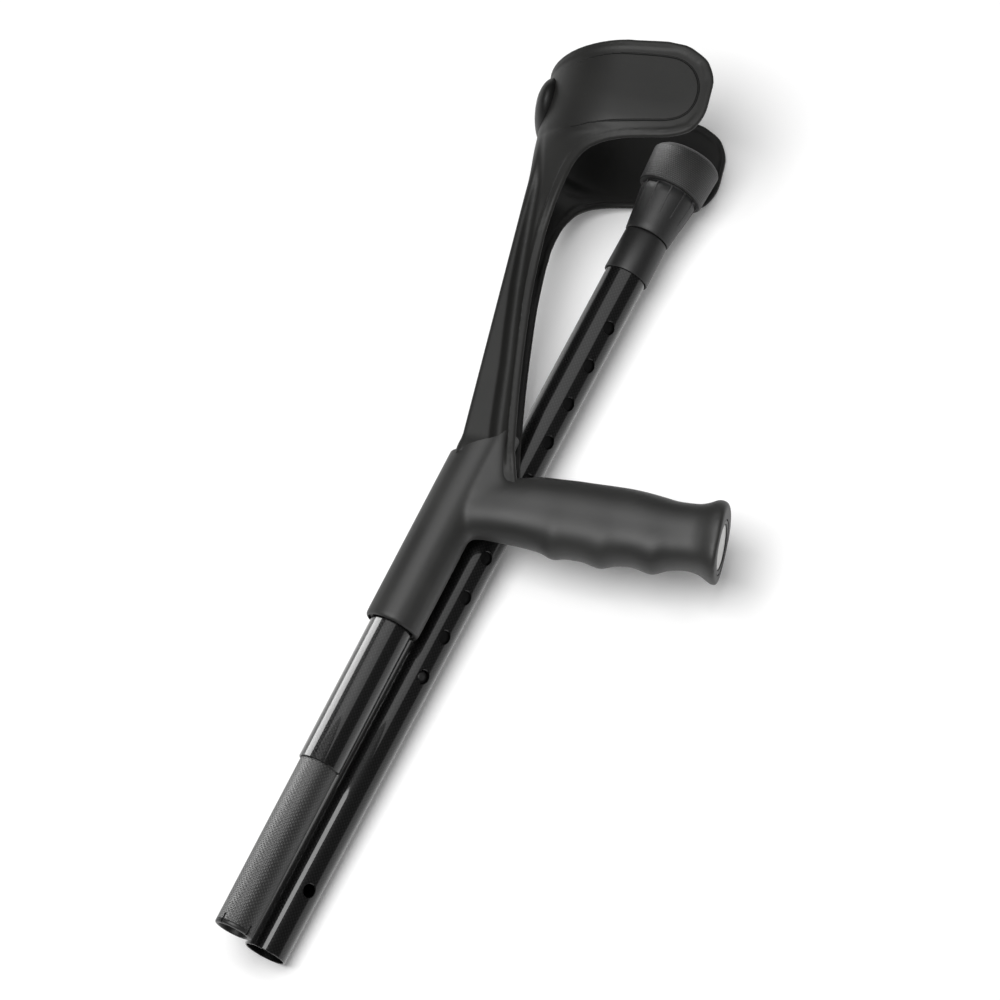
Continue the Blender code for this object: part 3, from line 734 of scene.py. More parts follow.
class Bench:
    """Blender's own modelling tools, used one at a time on one piece."""

    @staticmethod
    def clear() -> None:
        """Deselects everything."""
        bpy.ops.object.select_all(action="DESELECT")

    @staticmethod
    def pick(*pieces: Piece) -> None:
        """Selects pieces and makes the first one active.

        Args:
            pieces: The pieces.
        """
        Bench.clear()
        for piece in pieces:
            piece.select_set(True)
        bpy.context.view_layer.objects.active = pieces[0]

    @staticmethod
    def named(name: str) -> Piece:
        """Names the active object and its mesh.

        Args:
            name: The name.

        Returns:
            The object.
        """
        made = bpy.context.active_object
        made.name = name
        made.data.name = name
        return made

    @staticmethod
    @contextmanager
    def editing(outwards: bool = False) -> Iterator[None]:
        """Goes into edit mode with everything selected, and back out of it.

        Args:
            outwards: True to turn all faces outwards at the end.

        Yields:
            Nothing.
        """
        bpy.ops.object.mode_set(mode="EDIT")
        bpy.ops.mesh.select_all(action="SELECT")
        yield
        if outwards:
            bpy.ops.mesh.select_all(action="SELECT")
            bpy.ops.mesh.normals_make_consistent(inside=False)
        bpy.ops.object.mode_set(mode="OBJECT")

    @staticmethod
    def spots(piece: Piece) -> np.ndarray:
        """Reads the places of a piece's points."""
        return np.array([vertex.co for vertex in piece.data.vertices])

    @staticmethod
    def lay(piece: Piece, spots: np.ndarray) -> None:
        """Moves a piece's points to new places."""
        piece.data.vertices.foreach_set("co", spots.ravel())
        piece.data.update()

    @staticmethod
    def turn(name: str, profile: Profile, steps: int = 96) -> Piece:
        """Turns a profile about Z by extruding and resizing a circle.

        Args:
            name: Name of the piece.
            profile: Radius and height of each ring. A closed profile ends where it starts.
            steps: Number of sides.

        Returns:
            The piece, still at the origin.
        """
        Bench.clear()
        first_radius, level = profile[0]
        size = max(first_radius, NEAR_AXIS)
        bpy.ops.mesh.primitive_circle_add(vertices=steps, radius=1.0)
        made = Bench.named(name)
        Bench.settle(made, Matrix.Translation((0.0, 0.0, level)))
        with Bench.editing(outwards=True):
            bpy.ops.transform.resize(value=(size, size, 1.0), center_override=(0.0, 0.0, level))
            for radius, height in profile[1:]:
                move = (0.0, 0.0, height - level)
                bpy.ops.mesh.extrude_region_move(TRANSFORM_OT_translate={"value": move})
                share = max(radius, NEAR_AXIS) / size
                bpy.ops.transform.resize(value=(share, share, 1.0), center_override=(0.0, 0.0, height))
                size = max(radius, NEAR_AXIS)
                level = height
            bpy.ops.mesh.select_all(action="SELECT")
            bpy.ops.mesh.remove_doubles(threshold=MERGE_GAP)
        return made

    @staticmethod
    def rod(name: str, radius: float, low: float, high: float, steps: int = 96) -> Piece:
        """Turns a plain rod about Z.

        Args:
            name: Name of the piece.
            radius: Its radius.
            low: Level of its lower end.
            high: Level of its upper end.
            steps: Number of sides.

        Returns:
            The rod.
        """
        return Bench.turn(name, [(0.0, low), (radius, low), (radius, high), (0.0, high)], steps)

    @staticmethod
    def plate(name: str, outline: Profile, low: float, high: float, edge: float = 0.0) -> Piece:
        """Makes a plate of an outline in XY.

        Args:
            name: Name of the piece.
            outline: Its corners.
            low: Level of its underside.
            high: Level of its top.
            edge: Radius of its edges, or 0 for sharp ones.

        Returns:
            The piece, still at the origin.
        """
        Bench.clear()
        bpy.ops.mesh.primitive_circle_add(vertices=len(outline), radius=1.0)
        made = Bench.named(name)
        Bench.lay(made, np.array([(*corner, low) for corner in outline]))
        with Bench.editing(outwards=True):
            bpy.ops.mesh.edge_face_add()
            bpy.ops.mesh.extrude_region_move(TRANSFORM_OT_translate={"value": (0.0, 0.0, high - low)})
        if edge > 0.0:
            Bench.bevel(made, edge, segments=4, degrees=50.0)
        return made

    @staticmethod
    def modify(piece: Piece, kind: str, **settings: object) -> None:
        """Adds a modifier and applies it.

        Args:
            piece: The piece.
            kind: Type of the modifier.
            settings: Its settings.
        """
        Bench.pick(piece)
        modifier = piece.modifiers.new(kind.title(), kind)
        for name, value in settings.items():
            setattr(modifier, name, value)
        bpy.ops.object.modifier_apply(modifier=modifier.name)

    @staticmethod
    def bevel(piece: Piece, width: float, segments: int = 2, degrees: float = 40.0) -> None:
        """Rounds the edges that are sharper than an angle.

        Args:
            piece: The piece.
            width: Width of the rounding.
            segments: Number of faces across it.
            degrees: The angle.
        """
        limit = {"limit_method": "ANGLE", "angle_limit": math.radians(degrees)}
        Bench.modify(piece, "BEVEL", width=width, segments=segments, **limit)

    @staticmethod
    def relax(piece: Piece, rounds: int, group: str = "") -> None:
        """Evens a skin out, all over or in one group of its points."""
        Bench.modify(piece, "SMOOTH", factor=0.5, iterations=rounds, vertex_group=group)

    @staticmethod
    def cut(
        piece: Piece,
        tool: Piece,
        place: Matrix,
        solver: Solver = Solver.EXACT,
        operation: str = "DIFFERENCE",
    ) -> None:
        """Cuts a piece with a solid, which is put in its place first and removed afterwards.

        Args:
            piece: The piece that is kept.
            tool: The solid, still at the origin.
            place: Its place.
            solver: How the cut is worked out.
            operation: DIFFERENCE takes the solid away, and INTERSECT keeps what is inside it.
        """
        Bench.settle(tool, place)
        Bench.modify(piece, "BOOLEAN", operation=operation, solver=solver.value, object=tool)
        bpy.data.objects.remove(tool)

    @staticmethod
    def keep_largest(piece: Piece) -> None:
        """Drops the crumbs that cuts leave, and keeps the one large body.

        Args:
            piece: The piece.
        """
        Bench.pick(piece)
        with Bench.editing():
            bpy.ops.mesh.remove_doubles(threshold=MERGE_GAP)
            bpy.ops.mesh.select_all(action="SELECT")
            bpy.ops.mesh.dissolve_degenerate(threshold=MERGE_GAP)
            bpy.ops.mesh.select_all(action="SELECT")
            bpy.ops.mesh.separate(type="LOOSE")
        parts = list(bpy.context.selected_objects)
        largest = max(parts, key=lambda part: len(part.data.polygons))
        piece.data, largest.data = largest.data, piece.data
        for part in parts:
            if part is not piece:
                bpy.data.objects.remove(part)

    @staticmethod
    def settle(piece: Piece, place: Matrix) -> None:
        """Moves a piece to its place and writes that into its mesh.

        Args:
            piece: The piece.
            place: Matrix of its place.
        """
        piece.matrix_world = place
        Bench.pick(piece)
        bpy.ops.object.transform_apply(location=True, rotation=True, scale=True)

    @staticmethod
    def join(piece: Piece, *others: Piece) -> None:
        """Joins other pieces into the first one."""
        Bench.pick(piece, *others)
        bpy.ops.object.join()

    @staticmethod
    def fuse(voxel: float, piece: Piece, *others: Piece) -> None:
        """Joins other pieces into the first one and lays one even skin round them all.

        Args:
            voxel: Size of the skin's faces.
            piece: The piece that is kept.
            others: The pieces that go into it.
        """
        Bench.join(piece, *others)
        piece.data.remesh_voxel_size = voxel
        bpy.ops.object.voxel_remesh()

    @staticmethod
    def smooth(piece: Piece, degrees: float) -> None:
        """Shades a piece smooth, apart from edges sharper than an angle."""
        Bench.pick(piece)
        bpy.ops.object.shade_smooth_by_angle(angle=math.radians(degrees))

    @staticmethod
    def unroll(piece: Piece) -> None:
        """Gives a turned piece its UV map, of turns round Z and metres along it. Call it before settle.

        Args:
            piece: The piece, still at the origin.
        """
        mesh = piece.data
        layer = mesh.uv_layers.new(name=WRAP_MAP)
        spots = Bench.spots(piece)
        turns = np.arctan2(spots[:, 1], spots[:, 0]) / (2.0 * math.pi)
        for face in mesh.polygons:
            corners = list(face.loop_indices)
            near = [turns[mesh.loops[corner].vertex_index] for corner in corners]
            wraps = max(near) - min(near) > 0.5
            for corner, turn in zip(corners, near):
                share = turn + 1.0 if wraps and turn < 0.0 else turn
                layer.data[corner].uv = (share, spots[mesh.loops[corner].vertex_index, 2])

    @staticmethod
    def sweep(name: str, path: list[Point], radius: float) -> Piece:
        """Makes a round bead along a path.

        Args:
            name: Name of the piece.
            path: Points of its middle line.
            radius: Radius of the bead.

        Returns:
            The bead as a mesh.
        """
        line = bpy.data.curves.new(name, "CURVE")
        line.dimensions = "3D"
        line.bevel_depth = radius
        line.bevel_resolution = 6
        line.use_fill_caps = True
        spline = line.splines.new("POLY")
        spline.points.add(len(path) - 1)
        for point, spot in zip(spline.points, path):
            point.co = (*spot, 1.0)
        made = bpy.data.objects.new(name, line)
        bpy.context.scene.collection.objects.link(made)
        Bench.pick(made)
        bpy.ops.object.convert(target="MESH")
        return Bench.named(name)


def eased(places: np.ndarray, values: np.ndarray, wanted: np.ndarray) -> np.ndarray:
    """Draws a smooth curve through values without overshooting them.

    Args:
        places: Rising places of the values.
        values: The values.
        wanted: Places to read.

    Returns:
        The curve at those places.
    """
    steps = np.diff(places)
    slopes = np.diff(values) / steps
    lean = np.zeros(len(values))
    for index in range(1, len(slopes)):
        before, after = slopes[index - 1], slopes[index]
        if before * after > 0.0:
            first = 2.0 * steps[index] + steps[index - 1]
            second = steps[index] + 2.0 * steps[index - 1]
            lean[index] = (first + second) / (first / before + second / after)
    lean[0], lean[-1] = slopes[0], slopes[-1]
    spans = np.clip(np.searchsorted(places, wanted) - 1, 0, len(steps) - 1)
    share = (wanted - places[spans]) / steps[spans]
    width = steps[spans]
    start = (1.0 + 2.0 * share) * (1.0 - share) ** 2 * values[spans]
    end = share**2 * (3.0 - 2.0 * share) * values[spans + 1]
    lean_in = share * (1.0 - share) ** 2 * width * lean[spans]
    lean_out = share**2 * (1.0 - share) * width * lean[spans + 1]
    return start + end + (lean_in - lean_out)


def ease(share: float | np.ndarray) -> float | np.ndarray:
    """Eases a share, or an array of them, in and out, and holds it between 0 and 1."""
    share = np.clip(share, 0.0, 1.0)
    return share * share * (3.0 - 2.0 * share)


def rounded(outline: Profile, rounds: int) -> Profile:
    """Rounds an open line by cutting its corners again and again.

    Args:
        outline: Its corners.
        rounds: Number of times that they are cut.

    Returns:
        The smooth line.
    """
    line = np.array(outline)
    for _ in range(rounds):
        early = 0.75 * line[:-1] + 0.25 * line[1:]
        late = 0.25 * line[:-1] + 0.75 * line[1:]
        cut = np.stack((early, late), axis=1).reshape(-1, 2)
        line = np.concatenate((line[:1], cut, line[-1:]))
    return [tuple(spot) for spot in line]


def pipe(outer: float, inner: float, low: float, high: float, edge: float) -> Profile:
    """Gives the closed profile of a tube with eased edges.

    Args:
        outer: Outer radius.
        inner: Radius of the bore.
        low: Level of the lower end.
        high: Level of the upper end.
        edge: Size of the eased edges.

    Returns:
        The radius and height of each ring.
    """
    return [
        (inner, low + edge),
        (inner + edge, low),
        (outer - edge, low),
        (outer, low + edge),
        (outer, high - edge),
        (outer - edge, high),
        (inner + edge, high),
        (inner, high - edge),
        (inner, low + edge),
    ]


class Assembly:
    """What every group of pieces shares: a palette, and the last steps of a piece."""

    palette = Palette()

    def hand_over(
        self,
        piece: Piece,
        place: Matrix,
        body: Body,
        finish: Finish,
        node: str,
        crease: float = 35.0,
    ) -> None:
        """Shades a finished piece and puts it on its body.

        Args:
            piece: The piece.
            place: Its place.
            body: The body that it rides on.
            finish: Its finish.
            node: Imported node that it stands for.
            crease: Angle in degrees from which an edge stays sharp.
        """
        Bench.smooth(piece, crease)
        Bench.settle(piece, place)
        self.palette.paint(piece, finish)
        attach(piece, body.value)
        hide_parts(node)
        LOG.info("%s: %d faces", piece.name, len(piece.data.polygons))


@dataclass
class ArmSupport(Assembly):
    """The hard moulding: an open cuff with two lobes and its channel-shaped yoke.

    The band is the raised border along the open edge. The tuck draws the yoke's root in under the soft
    cover, and the flanges are the yoke's front edges there. The panel is the line on each lobe's outer face.

    A station holds the height on the rear line, the height at the front edges, the distance between them and
    how far the section has gone from the yoke (0) to the cuff (1). The valley holds the height, middle, half
    width and depth of the hollow up each side of the yoke.
    """

    wall: float = 0.0025
    yoke_half_width: float = 0.0140
    yoke_corner: float = 0.0040
    flare_power: float = 1.7
    cuff_half_width: float = 0.05037
    cuff_start: float = 0.150
    cuff_middle: Point = (0.03, 0.0, 0.0)
    lobe_run: float = 0.025
    bow_start: float = 0.25
    bow_depth: float = 0.75
    rear_flat: float = 0.0020
    rear_set: float = 0.0015
    rear_set_run: float = 0.040
    slope_run: float = 0.075
    slope_arch: float = 0.35
    reach_weight: float = 0.6
    band: float = 0.0046
    lobe_band: float = 0.0034
    band_rise: float = 0.0015
    band_slope: float = 0.26
    band_edge: float = 0.0012
    band_foot: float = 0.010
    lobe_share: float = 0.5
    tuck_rise: float = 0.648
    tuck_low: float = 0.0138
    tuck_edge: float = 0.0015
    tuck_width: float = 0.0122
    tuck_radius: float = 0.0146
    flange_front: float = 0.0274
    flange_lean: float = 0.213
    flange_height: float = 0.0021
    flange_edge: float = 0.0012
    flange_foot: float = 0.0190
    flange_foot_run: float = 0.0110
    bead: float = 0.0018
    bead_inset: float = 0.0016
    voxel: float = 0.00088
    relaxing: int = 4
    columns: int = 128
    rows: int = 170
    panel_rounds: int = 4
    panel_side: float = 0.030
    panel_facing: float = 0.2
    panel_fade_start: float = 0.050
    panel_fade_run: float = 0.018
    panel_fade: float = 0.0009
    stations: Table = (
        (-0.0340, -0.0260, 0.0400, 0.0),
        (-0.0240, -0.0120, 0.0356, 0.0),
        (-0.0120, 0.0030, 0.0324, 0.0),
        (0.0020, 0.0140, 0.0306, 0.0),
        (0.0176, 0.0239, 0.0290, 0.0),
        (0.0554, 0.0605, 0.0243, 0.0),
        (0.0932, 0.0970, 0.0211, 0.0),
        (0.1197, 0.1222, 0.0206, 0.03),
        (0.1353, 0.1373, 0.0216, 0.13),
        (0.1483, 0.1520, 0.0247, 0.34),
        (0.1593, 0.1617, 0.0305, 0.57),
        (0.1683, 0.1688, 0.0400, 0.76),
        (0.1763, 0.1738, 0.0550, 0.88),
        (0.1843, 0.1783, 0.0810, 0.955),
        (0.1913, 0.1850, 0.0938, 0.985),
        (0.1993, 0.1978, 0.0984, 1.0),
        (0.2073, 0.2118, 0.0986, 1.0),
        (0.2143, 0.2236, 0.0940, 1.0),
        (0.2194, 0.2294, 0.0862, 1.0),
        (0.2212, 0.2324, 0.0788, 1.0),
        (0.2218, 0.2330, 0.0715, 1.0),
    )
    valley: Table = (
        (-0.020, 0.0232, 0.0058, 0.0034),
        (0.001, 0.0224, 0.0058, 0.0036),
        (0.009, 0.0212, 0.0056, 0.0036),
        (0.0255, 0.0194, 0.0054, 0.0036),
        (0.045, 0.0173, 0.0050, 0.0036),
        (0.065, 0.0146, 0.0050, 0.0034),
        (0.0895, 0.0117, 0.0048, 0.0032),
        (0.1095, 0.0100, 0.0042, 0.0028),
        (0.1295, 0.0088, 0.0036, 0.0022),
        (0.150, 0.0082, 0.0032, 0.0017),
        (0.168, 0.0072, 0.0030, 0.0012),
        (0.186, 0.0056, 0.0028, 0.0),
        (0.260, 0.0056, 0.0028, 0.0),
    )
    panel: Profile = (
        (0.0260, 0.2185), (0.0404, 0.2218), (0.0563, 0.2238), (0.0735, 0.2250), (0.0810, 0.2232),
        (0.0872, 0.2182), (0.0910, 0.2110), (0.0918, 0.2045), (0.0908, 0.1970), (0.0866, 0.1905),
        (0.0790, 0.1868), (0.0703, 0.1855), (0.0496, 0.1819), (0.0260, 0.1776),
    )

    def __post_init__(self) -> None:
        """Keeps the valley as an array."""
        self.valley_table = np.array(self.valley)

    def surface(self) -> np.ndarray:
        """Lays out the outer face.

        Returns:
            Its points by row and column, in the arm's frame.
        """
        table = np.array(self.stations)
        rear, front, reach = (np.abs(np.diff(table[:, index])) for index in range(3))
        places = np.concatenate(([0.0], np.cumsum(rear + front + self.reach_weight * reach)))
        wanted = np.linspace(0.0, places[-1], self.rows)
        columns = zip(*(eased(places, table[:, index], wanted) for index in range(4)))
        points = np.array([self.section(*station) for station in columns])
        gap = self.edge_gap(points)
        lobe = ease((points[..., 1] - self.cuff_start) / self.lobe_run)
        width = self.band + (self.lobe_band - self.band) * lobe
        share = 1.0 - self.lobe_share * lobe
        depth = self.band_rise * share * ease((gap - width) / self.band_edge)
        depth += self.band_slope * share * np.clip(width - gap, 0.0, width)
        depth *= ease((points[..., 1] + self.band_foot) / self.band_foot)
        return points + self.inward(points) * depth[..., None]

    def section(self, rear: float, front: float, reach: float, spread: float) -> np.ndarray:
        """Lays out one row of points, from the lower front edge round the back to the upper one.

        Args:
            rear: Height on the rear line.
            front: Height at the front edges.
            reach: Distance from the rear line to the front edges.
            spread: 0 in the yoke and 1 in the cuff.

        Returns:
            The points.
        """
        half_width = self.yoke_half_width + (self.cuff_half_width - self.yoke_half_width) * spread
        bend = ease((spread - self.bow_start) / (1.0 - self.bow_start))
        row = np.zeros((self.columns, 3))
        for column in range(self.columns):
            across = 2.0 * column / (self.columns - 1) - 1.0
            square = self.square_spot(abs(across), reach, half_width)
            bowed = self.bowed_spot(abs(across), reach, half_width)
            x_place, z_place = square.lerp(bowed, bend)
            climb = min(1.0, x_place / min(self.slope_run, reach))
            height = rear + (front - rear) * climb * (1.0 + self.slope_arch - self.slope_arch * climb)
            set_in = self.rear_set * (1.0 - ease((height - self.cuff_start) / self.rear_set_run))
            z_place -= self.dip(x_place, height)
            z_place = self.tuck(x_place, height, z_place)
            x_place = set_in + x_place * (reach - set_in) / reach
            row[column] = (x_place, height, math.copysign(z_place, across))
        return row

    def square_spot(self, share: float, reach: float, half_width: float) -> Vector:
        """Gives a point of the yoke's square section, whose sides flare outwards at their front edges.

        Args:
            share: Share of the way from the rear line to the front edge.
            reach: Distance from the rear line to the front edge.
            half_width: Half width at the front edge.

        Returns:
            Its X and Z.
        """
        corner = self.yoke_corner
        flat = self.yoke_half_width - corner
        arc = 0.5 * math.pi * corner
        run = share * (flat + arc + reach - corner)
        if run < flat:
            spot = Vector((0.0, run))
        elif run < flat + arc:
            turn = (run - flat) / corner
            spot = Vector((corner - corner * math.cos(turn), flat + corner * math.sin(turn)))
        else:
            spot = Vector((corner + run - flat - arc, self.yoke_half_width))
        flare = max(0.0, spot.x / reach)
        spot.y += (half_width - self.yoke_half_width) * flare**self.flare_power
        return spot

    def bowed_spot(self, share: float, reach: float, half_width: float) -> Vector:
        """Gives a point of the cuff's bowed section.

        Args:
            share: Share of the way from the rear line to the front edge.
            reach: Distance from the rear line to the front edge.
            half_width: Half width at the front edge.

        Returns:
            Its X and Z.
        """
        tall = self.cuff_half_width - self.rear_flat
        deep = min(tall, self.bow_depth * reach)
        arc = 0.25 * math.pi * (tall + deep)
        run = share * (self.rear_flat + arc + reach - deep)
        if run < self.rear_flat:
            spot = Vector((0.0, run))
        elif run < self.rear_flat + arc:
            turn = 0.5 * math.pi * (run - self.rear_flat) / arc
            spot = Vector((deep - deep * math.cos(turn), self.rear_flat + tall * math.sin(turn)))
        else:
            spot = Vector((deep + run - self.rear_flat - arc, self.cuff_half_width))
        spot.y *= half_width / self.cuff_half_width
        return spot

    @staticmethod
    def edge_gap(points: np.ndarray) -> np.ndarray:
        """Measures how far each point of the outer face is from its open edge.

        Args:
            points: Points by row and column.

        Returns:
            The distances.
        """
        edge = np.concatenate((points[:, -1], points[-1], points[:, 0]))
        return np.array([[np.linalg.norm(edge - spot, axis=1).min() for spot in row] for row in points])

    def tuck(self, x_place: float, height: float, z_place: float) -> float:
        """Draws the yoke's root in under the soft cover, apart from the front flanges.

        Args:
            x_place: Distance from the rear line.
            height: Height up the arm.
            z_place: Distance from the middle plane.

        Returns:
            The distance that is left.
        """
        flange = self.flange_front + self.flange_lean * (self.flange_height - height)
        under = ease((self.tuck_rise * x_place - self.tuck_low - height) / self.tuck_edge)
        outside = ease((x_place - flange + self.flange_edge) / self.flange_edge)
        under *= 1.0 - outside * ease((height + self.flange_foot) / self.flange_foot_run)
        spot = ARM_IN_TUBE @ Vector((x_place, height, 0.0))
        round_limit = math.sqrt(max(0.0, self.tuck_radius**2 - min(spot.x, 0.0) ** 2))
        limit = min(self.tuck_width, round_limit)
        return z_place + (min(z_place, limit) - z_place) * under

    def dip(self, x_place: float, height: float) -> float:
        """Gives the depth of the hollow that runs up each side of the yoke.

        Args:
            x_place: Distance from the rear line.
            height: Height up the arm.

        Returns:
            The depth there.
        """
        heights, *columns = self.valley_table.T
        middle, half, depth = (np.interp(height, heights, column) for column in columns)
        return float(depth * ease(1.0 - abs(x_place - middle) / half))

    def build(self) -> None:
        """Builds the shell and its rim bead as one skin."""
        points = self.surface()
        shell = self.shell(points)
        bead = Bench.sweep("rim_bead", self.rim(points), self.bead)
        Bench.fuse(self.voxel, shell, bead)
        Bench.relax(shell, self.relaxing)
        self.mark_panel(shell)
        self.hand_over(shell, ARM_FRAME, Body.UPPER, Finish.MOULDING, "arm_support", 60.0)

    def shell(self, points: np.ndarray) -> Piece:
        """Lays a grid on the points and gives it its wall.

        Args:
            points: Points by row and column.

        Returns:
            The shell.
        """
        across, along = self.columns - 1, self.rows - 1
        Bench.clear()
        bpy.ops.mesh.primitive_grid_add(x_subdivisions=across, y_subdivisions=along, size=2.0)
        made = Bench.named("cuff_and_yoke")
        spots = Bench.spots(made)
        column = np.rint((spots[:, 0] + 1.0) / 2.0 * across).astype(int)
        row = np.rint((spots[:, 1] + 1.0) / 2.0 * along).astype(int)
        Bench.lay(made, points[row, column])
        with Bench.editing():
            bpy.ops.mesh.normals_make_consistent(inside=False)
        self.face_out(made)
        Bench.modify(made, "SOLIDIFY", thickness=self.wall, offset=-1.0)
        return made

    @staticmethod
    def face_out(piece: Piece) -> None:
        """Flips the open sheet if its faces point into the cuff.

        Args:
            piece: The sheet.
        """
        lean = sum(face.normal.z * face.center.z * face.area for face in piece.data.polygons)
        if lean < 0.0:
            with Bench.editing():
                bpy.ops.mesh.flip_normals()

    def mark_panel(self, shell: Piece) -> None:
        """Stores each point's distance from the line of the panel, on the outer faces of the lobes only.

        Args:
            shell: The cuff and yoke.
        """
        spots = Bench.spots(shell)
        facing = np.array([vertex.normal.z for vertex in shell.data.vertices])
        outside = facing * np.sign(spots[:, 2]) > self.panel_facing
        line = shell.data.attributes.new(PANEL_ATTRIBUTE, "FLOAT", "POINT")
        line.data.foreach_set("value", np.where(outside, self.panel_distance(spots), 1.0))

    def panel_distance(self, laid: np.ndarray) -> np.ndarray:
        """Measures how far each point is from the line round the panel of its lobe.

        Args:
            laid: Points in the arm's frame.

        Returns:
            The distances in metres, large where there is no line.
        """
        spots = laid[:, :2]
        best = np.full(len(spots), 1.0)
        sign = np.ones(len(spots))
        corners = np.array(rounded(self.panel, self.panel_rounds))
        for start, end in zip(corners, corners[1:]):
            run = end - start
            share = np.clip(((spots - start) @ run) / (run @ run), 0.0, 1.0)
            away = spots - (start + share[:, None] * run)
            gap = np.hypot(away[:, 0], away[:, 1])
            closer = gap < best
            side = np.sign(away[:, 0] * run[1] - away[:, 1] * run[0])
            sign = np.where(closer, side, sign)
            best = np.where(closer, gap, best)
        fade = np.clip((self.panel_fade_start - spots[:, 0]) / self.panel_fade_run, 0.0, 1.0)
        inside = np.abs(laid[:, 2]) < self.panel_side
        return np.where(inside, 1.0, sign * (best + fade * self.panel_fade))

    def rim(self, points: np.ndarray) -> list[Point]:
        """Finds the middle line of the bead round the open edge.

        Args:
            points: Points of the outer face.

        Returns:
            The line, from the foot of one flange round the cuff to the foot of the other.
        """
        middle = points + self.inward(points) * (self.wall / 2.0)
        near, top, far = (
            edge + self.unit(inner - edge) * self.bead_inset
            for edge, inner in (
                (middle[:, -1], middle[:, -4]),
                (middle[-1], middle[-4]),
                (middle[:, 0], middle[:, 3]),
            )
        )
        path = [*near[:-2], *top[::-1][2:-2], *far[::-1][2:]]
        return [tuple(spot) for spot in path]

    @staticmethod
    def unit(vectors: np.ndarray) -> np.ndarray:
        """Scales vectors to length 1."""
        return vectors / np.linalg.norm(vectors, axis=-1, keepdims=True)

    def inward(self, points: np.ndarray) -> np.ndarray:
        """Gives the direction through the wall at each point.

        Args:
            points: Points of the outer face.

        Returns:
            Vectors of length 1, which point into the cuff.
        """
        along = np.gradient(points, axis=0)
        across = np.gradient(points, axis=1)
        normal = self.unit(np.cross(along, across))
        outwards = np.sum(normal * (points - np.array(self.cuff_middle)) * np.array([1.0, 0.0, 1.0]))
        return -normal if outwards > 0.0 else normal


@dataclass
class BackOval(Assembly):
    """The raised oval seat on the middle of the cuff's back and the grey inset that lies flush in it."""

    cuff: ArmSupport
    centre: Point = (0.0054, 0.2008, 0.0)
    sizes: Point = (0.0092, 0.0186, 0.0310)
    edge: float = 0.0003
    inset_proud: float = 0.0001
    inset_height: float = 0.1995
    inset_sizes: tuple[float, float] = (0.0112, 0.0225)
    inset_reach: tuple[float, float] = (-0.020, 0.012)
    inset_gap: float = 0.0003
    wall_bite: float = 0.0010
    wall_ends: tuple[float, float] = (0.15, 0.26)
    wall_sides: int = 160

    def build(self) -> None:
        """Builds the seat with its pocket, and the inset in it, both cut off at the cuff's wall."""
        seat = self.oval("back_oval", self.sizes)
        inset = self.oval("oval_inset", tuple(size + self.inset_proud for size in self.sizes))
        self.cut_plug(inset, 0.0, "INTERSECT")
        self.cut_plug(seat, self.inset_gap, "DIFFERENCE")
        self.cut_wall(seat)
        Bench.bevel(seat, self.edge)
        self.hand_over(seat, ARM_FRAME, Body.UPPER, Finish.MOULDING, "reflector_bezel")
        self.cut_wall(inset)
        self.hand_over(inset, ARM_FRAME, Body.UPPER, Finish.GREY_PLASTIC, "reflector")

    def oval(self, name: str, sizes: Point) -> Piece:
        """Makes a smooth oval on the back of the cuff.

        Args:
            name: Name of the piece.
            sizes: Half sizes along X, Y and Z.

        Returns:
            The oval.
        """
        Bench.clear()
        bpy.ops.mesh.primitive_uv_sphere_add(segments=96, ring_count=48, radius=1.0)
        made = Bench.named(name)
        Bench.settle(made, Matrix.Translation(self.centre) @ Matrix.Diagonal((*sizes, 1.0)))
        return made

    def cut_plug(self, piece: Piece, gap: float, operation: str) -> None:
        """Cuts a piece with the oval plug that bounds the inset.

        Args:
            piece: The seat or the inset.
            gap: Room round the inset.
            operation: DIFFERENCE takes the plug away, and INTERSECT keeps what is inside it.
        """
        tall, wide = self.inset_sizes
        place = Matrix.Translation((0.0, self.inset_height, 0.0)) @ SECTION_UP
        place = place @ Matrix.Diagonal((tall + gap, wide + gap, 1.0, 1.0))
        Bench.cut(piece, Bench.rod("inset_plug", 1.0, *self.inset_reach), place, operation=operation)

    def cut_wall(self, piece: Piece) -> None:
        """Cuts away what enters the middle of the cuff's wall.

        Args:
            piece: The seat or the inset.
        """
        deep = self.cuff.cuff_half_width - self.cuff.rear_flat
        core = Bench.rod("wall_core", deep - self.wall_bite, *self.wall_ends, self.wall_sides)
        Bench.cut(piece, core, Matrix.Translation((deep, 0.0, 0.0)) @ ALONG_Y)


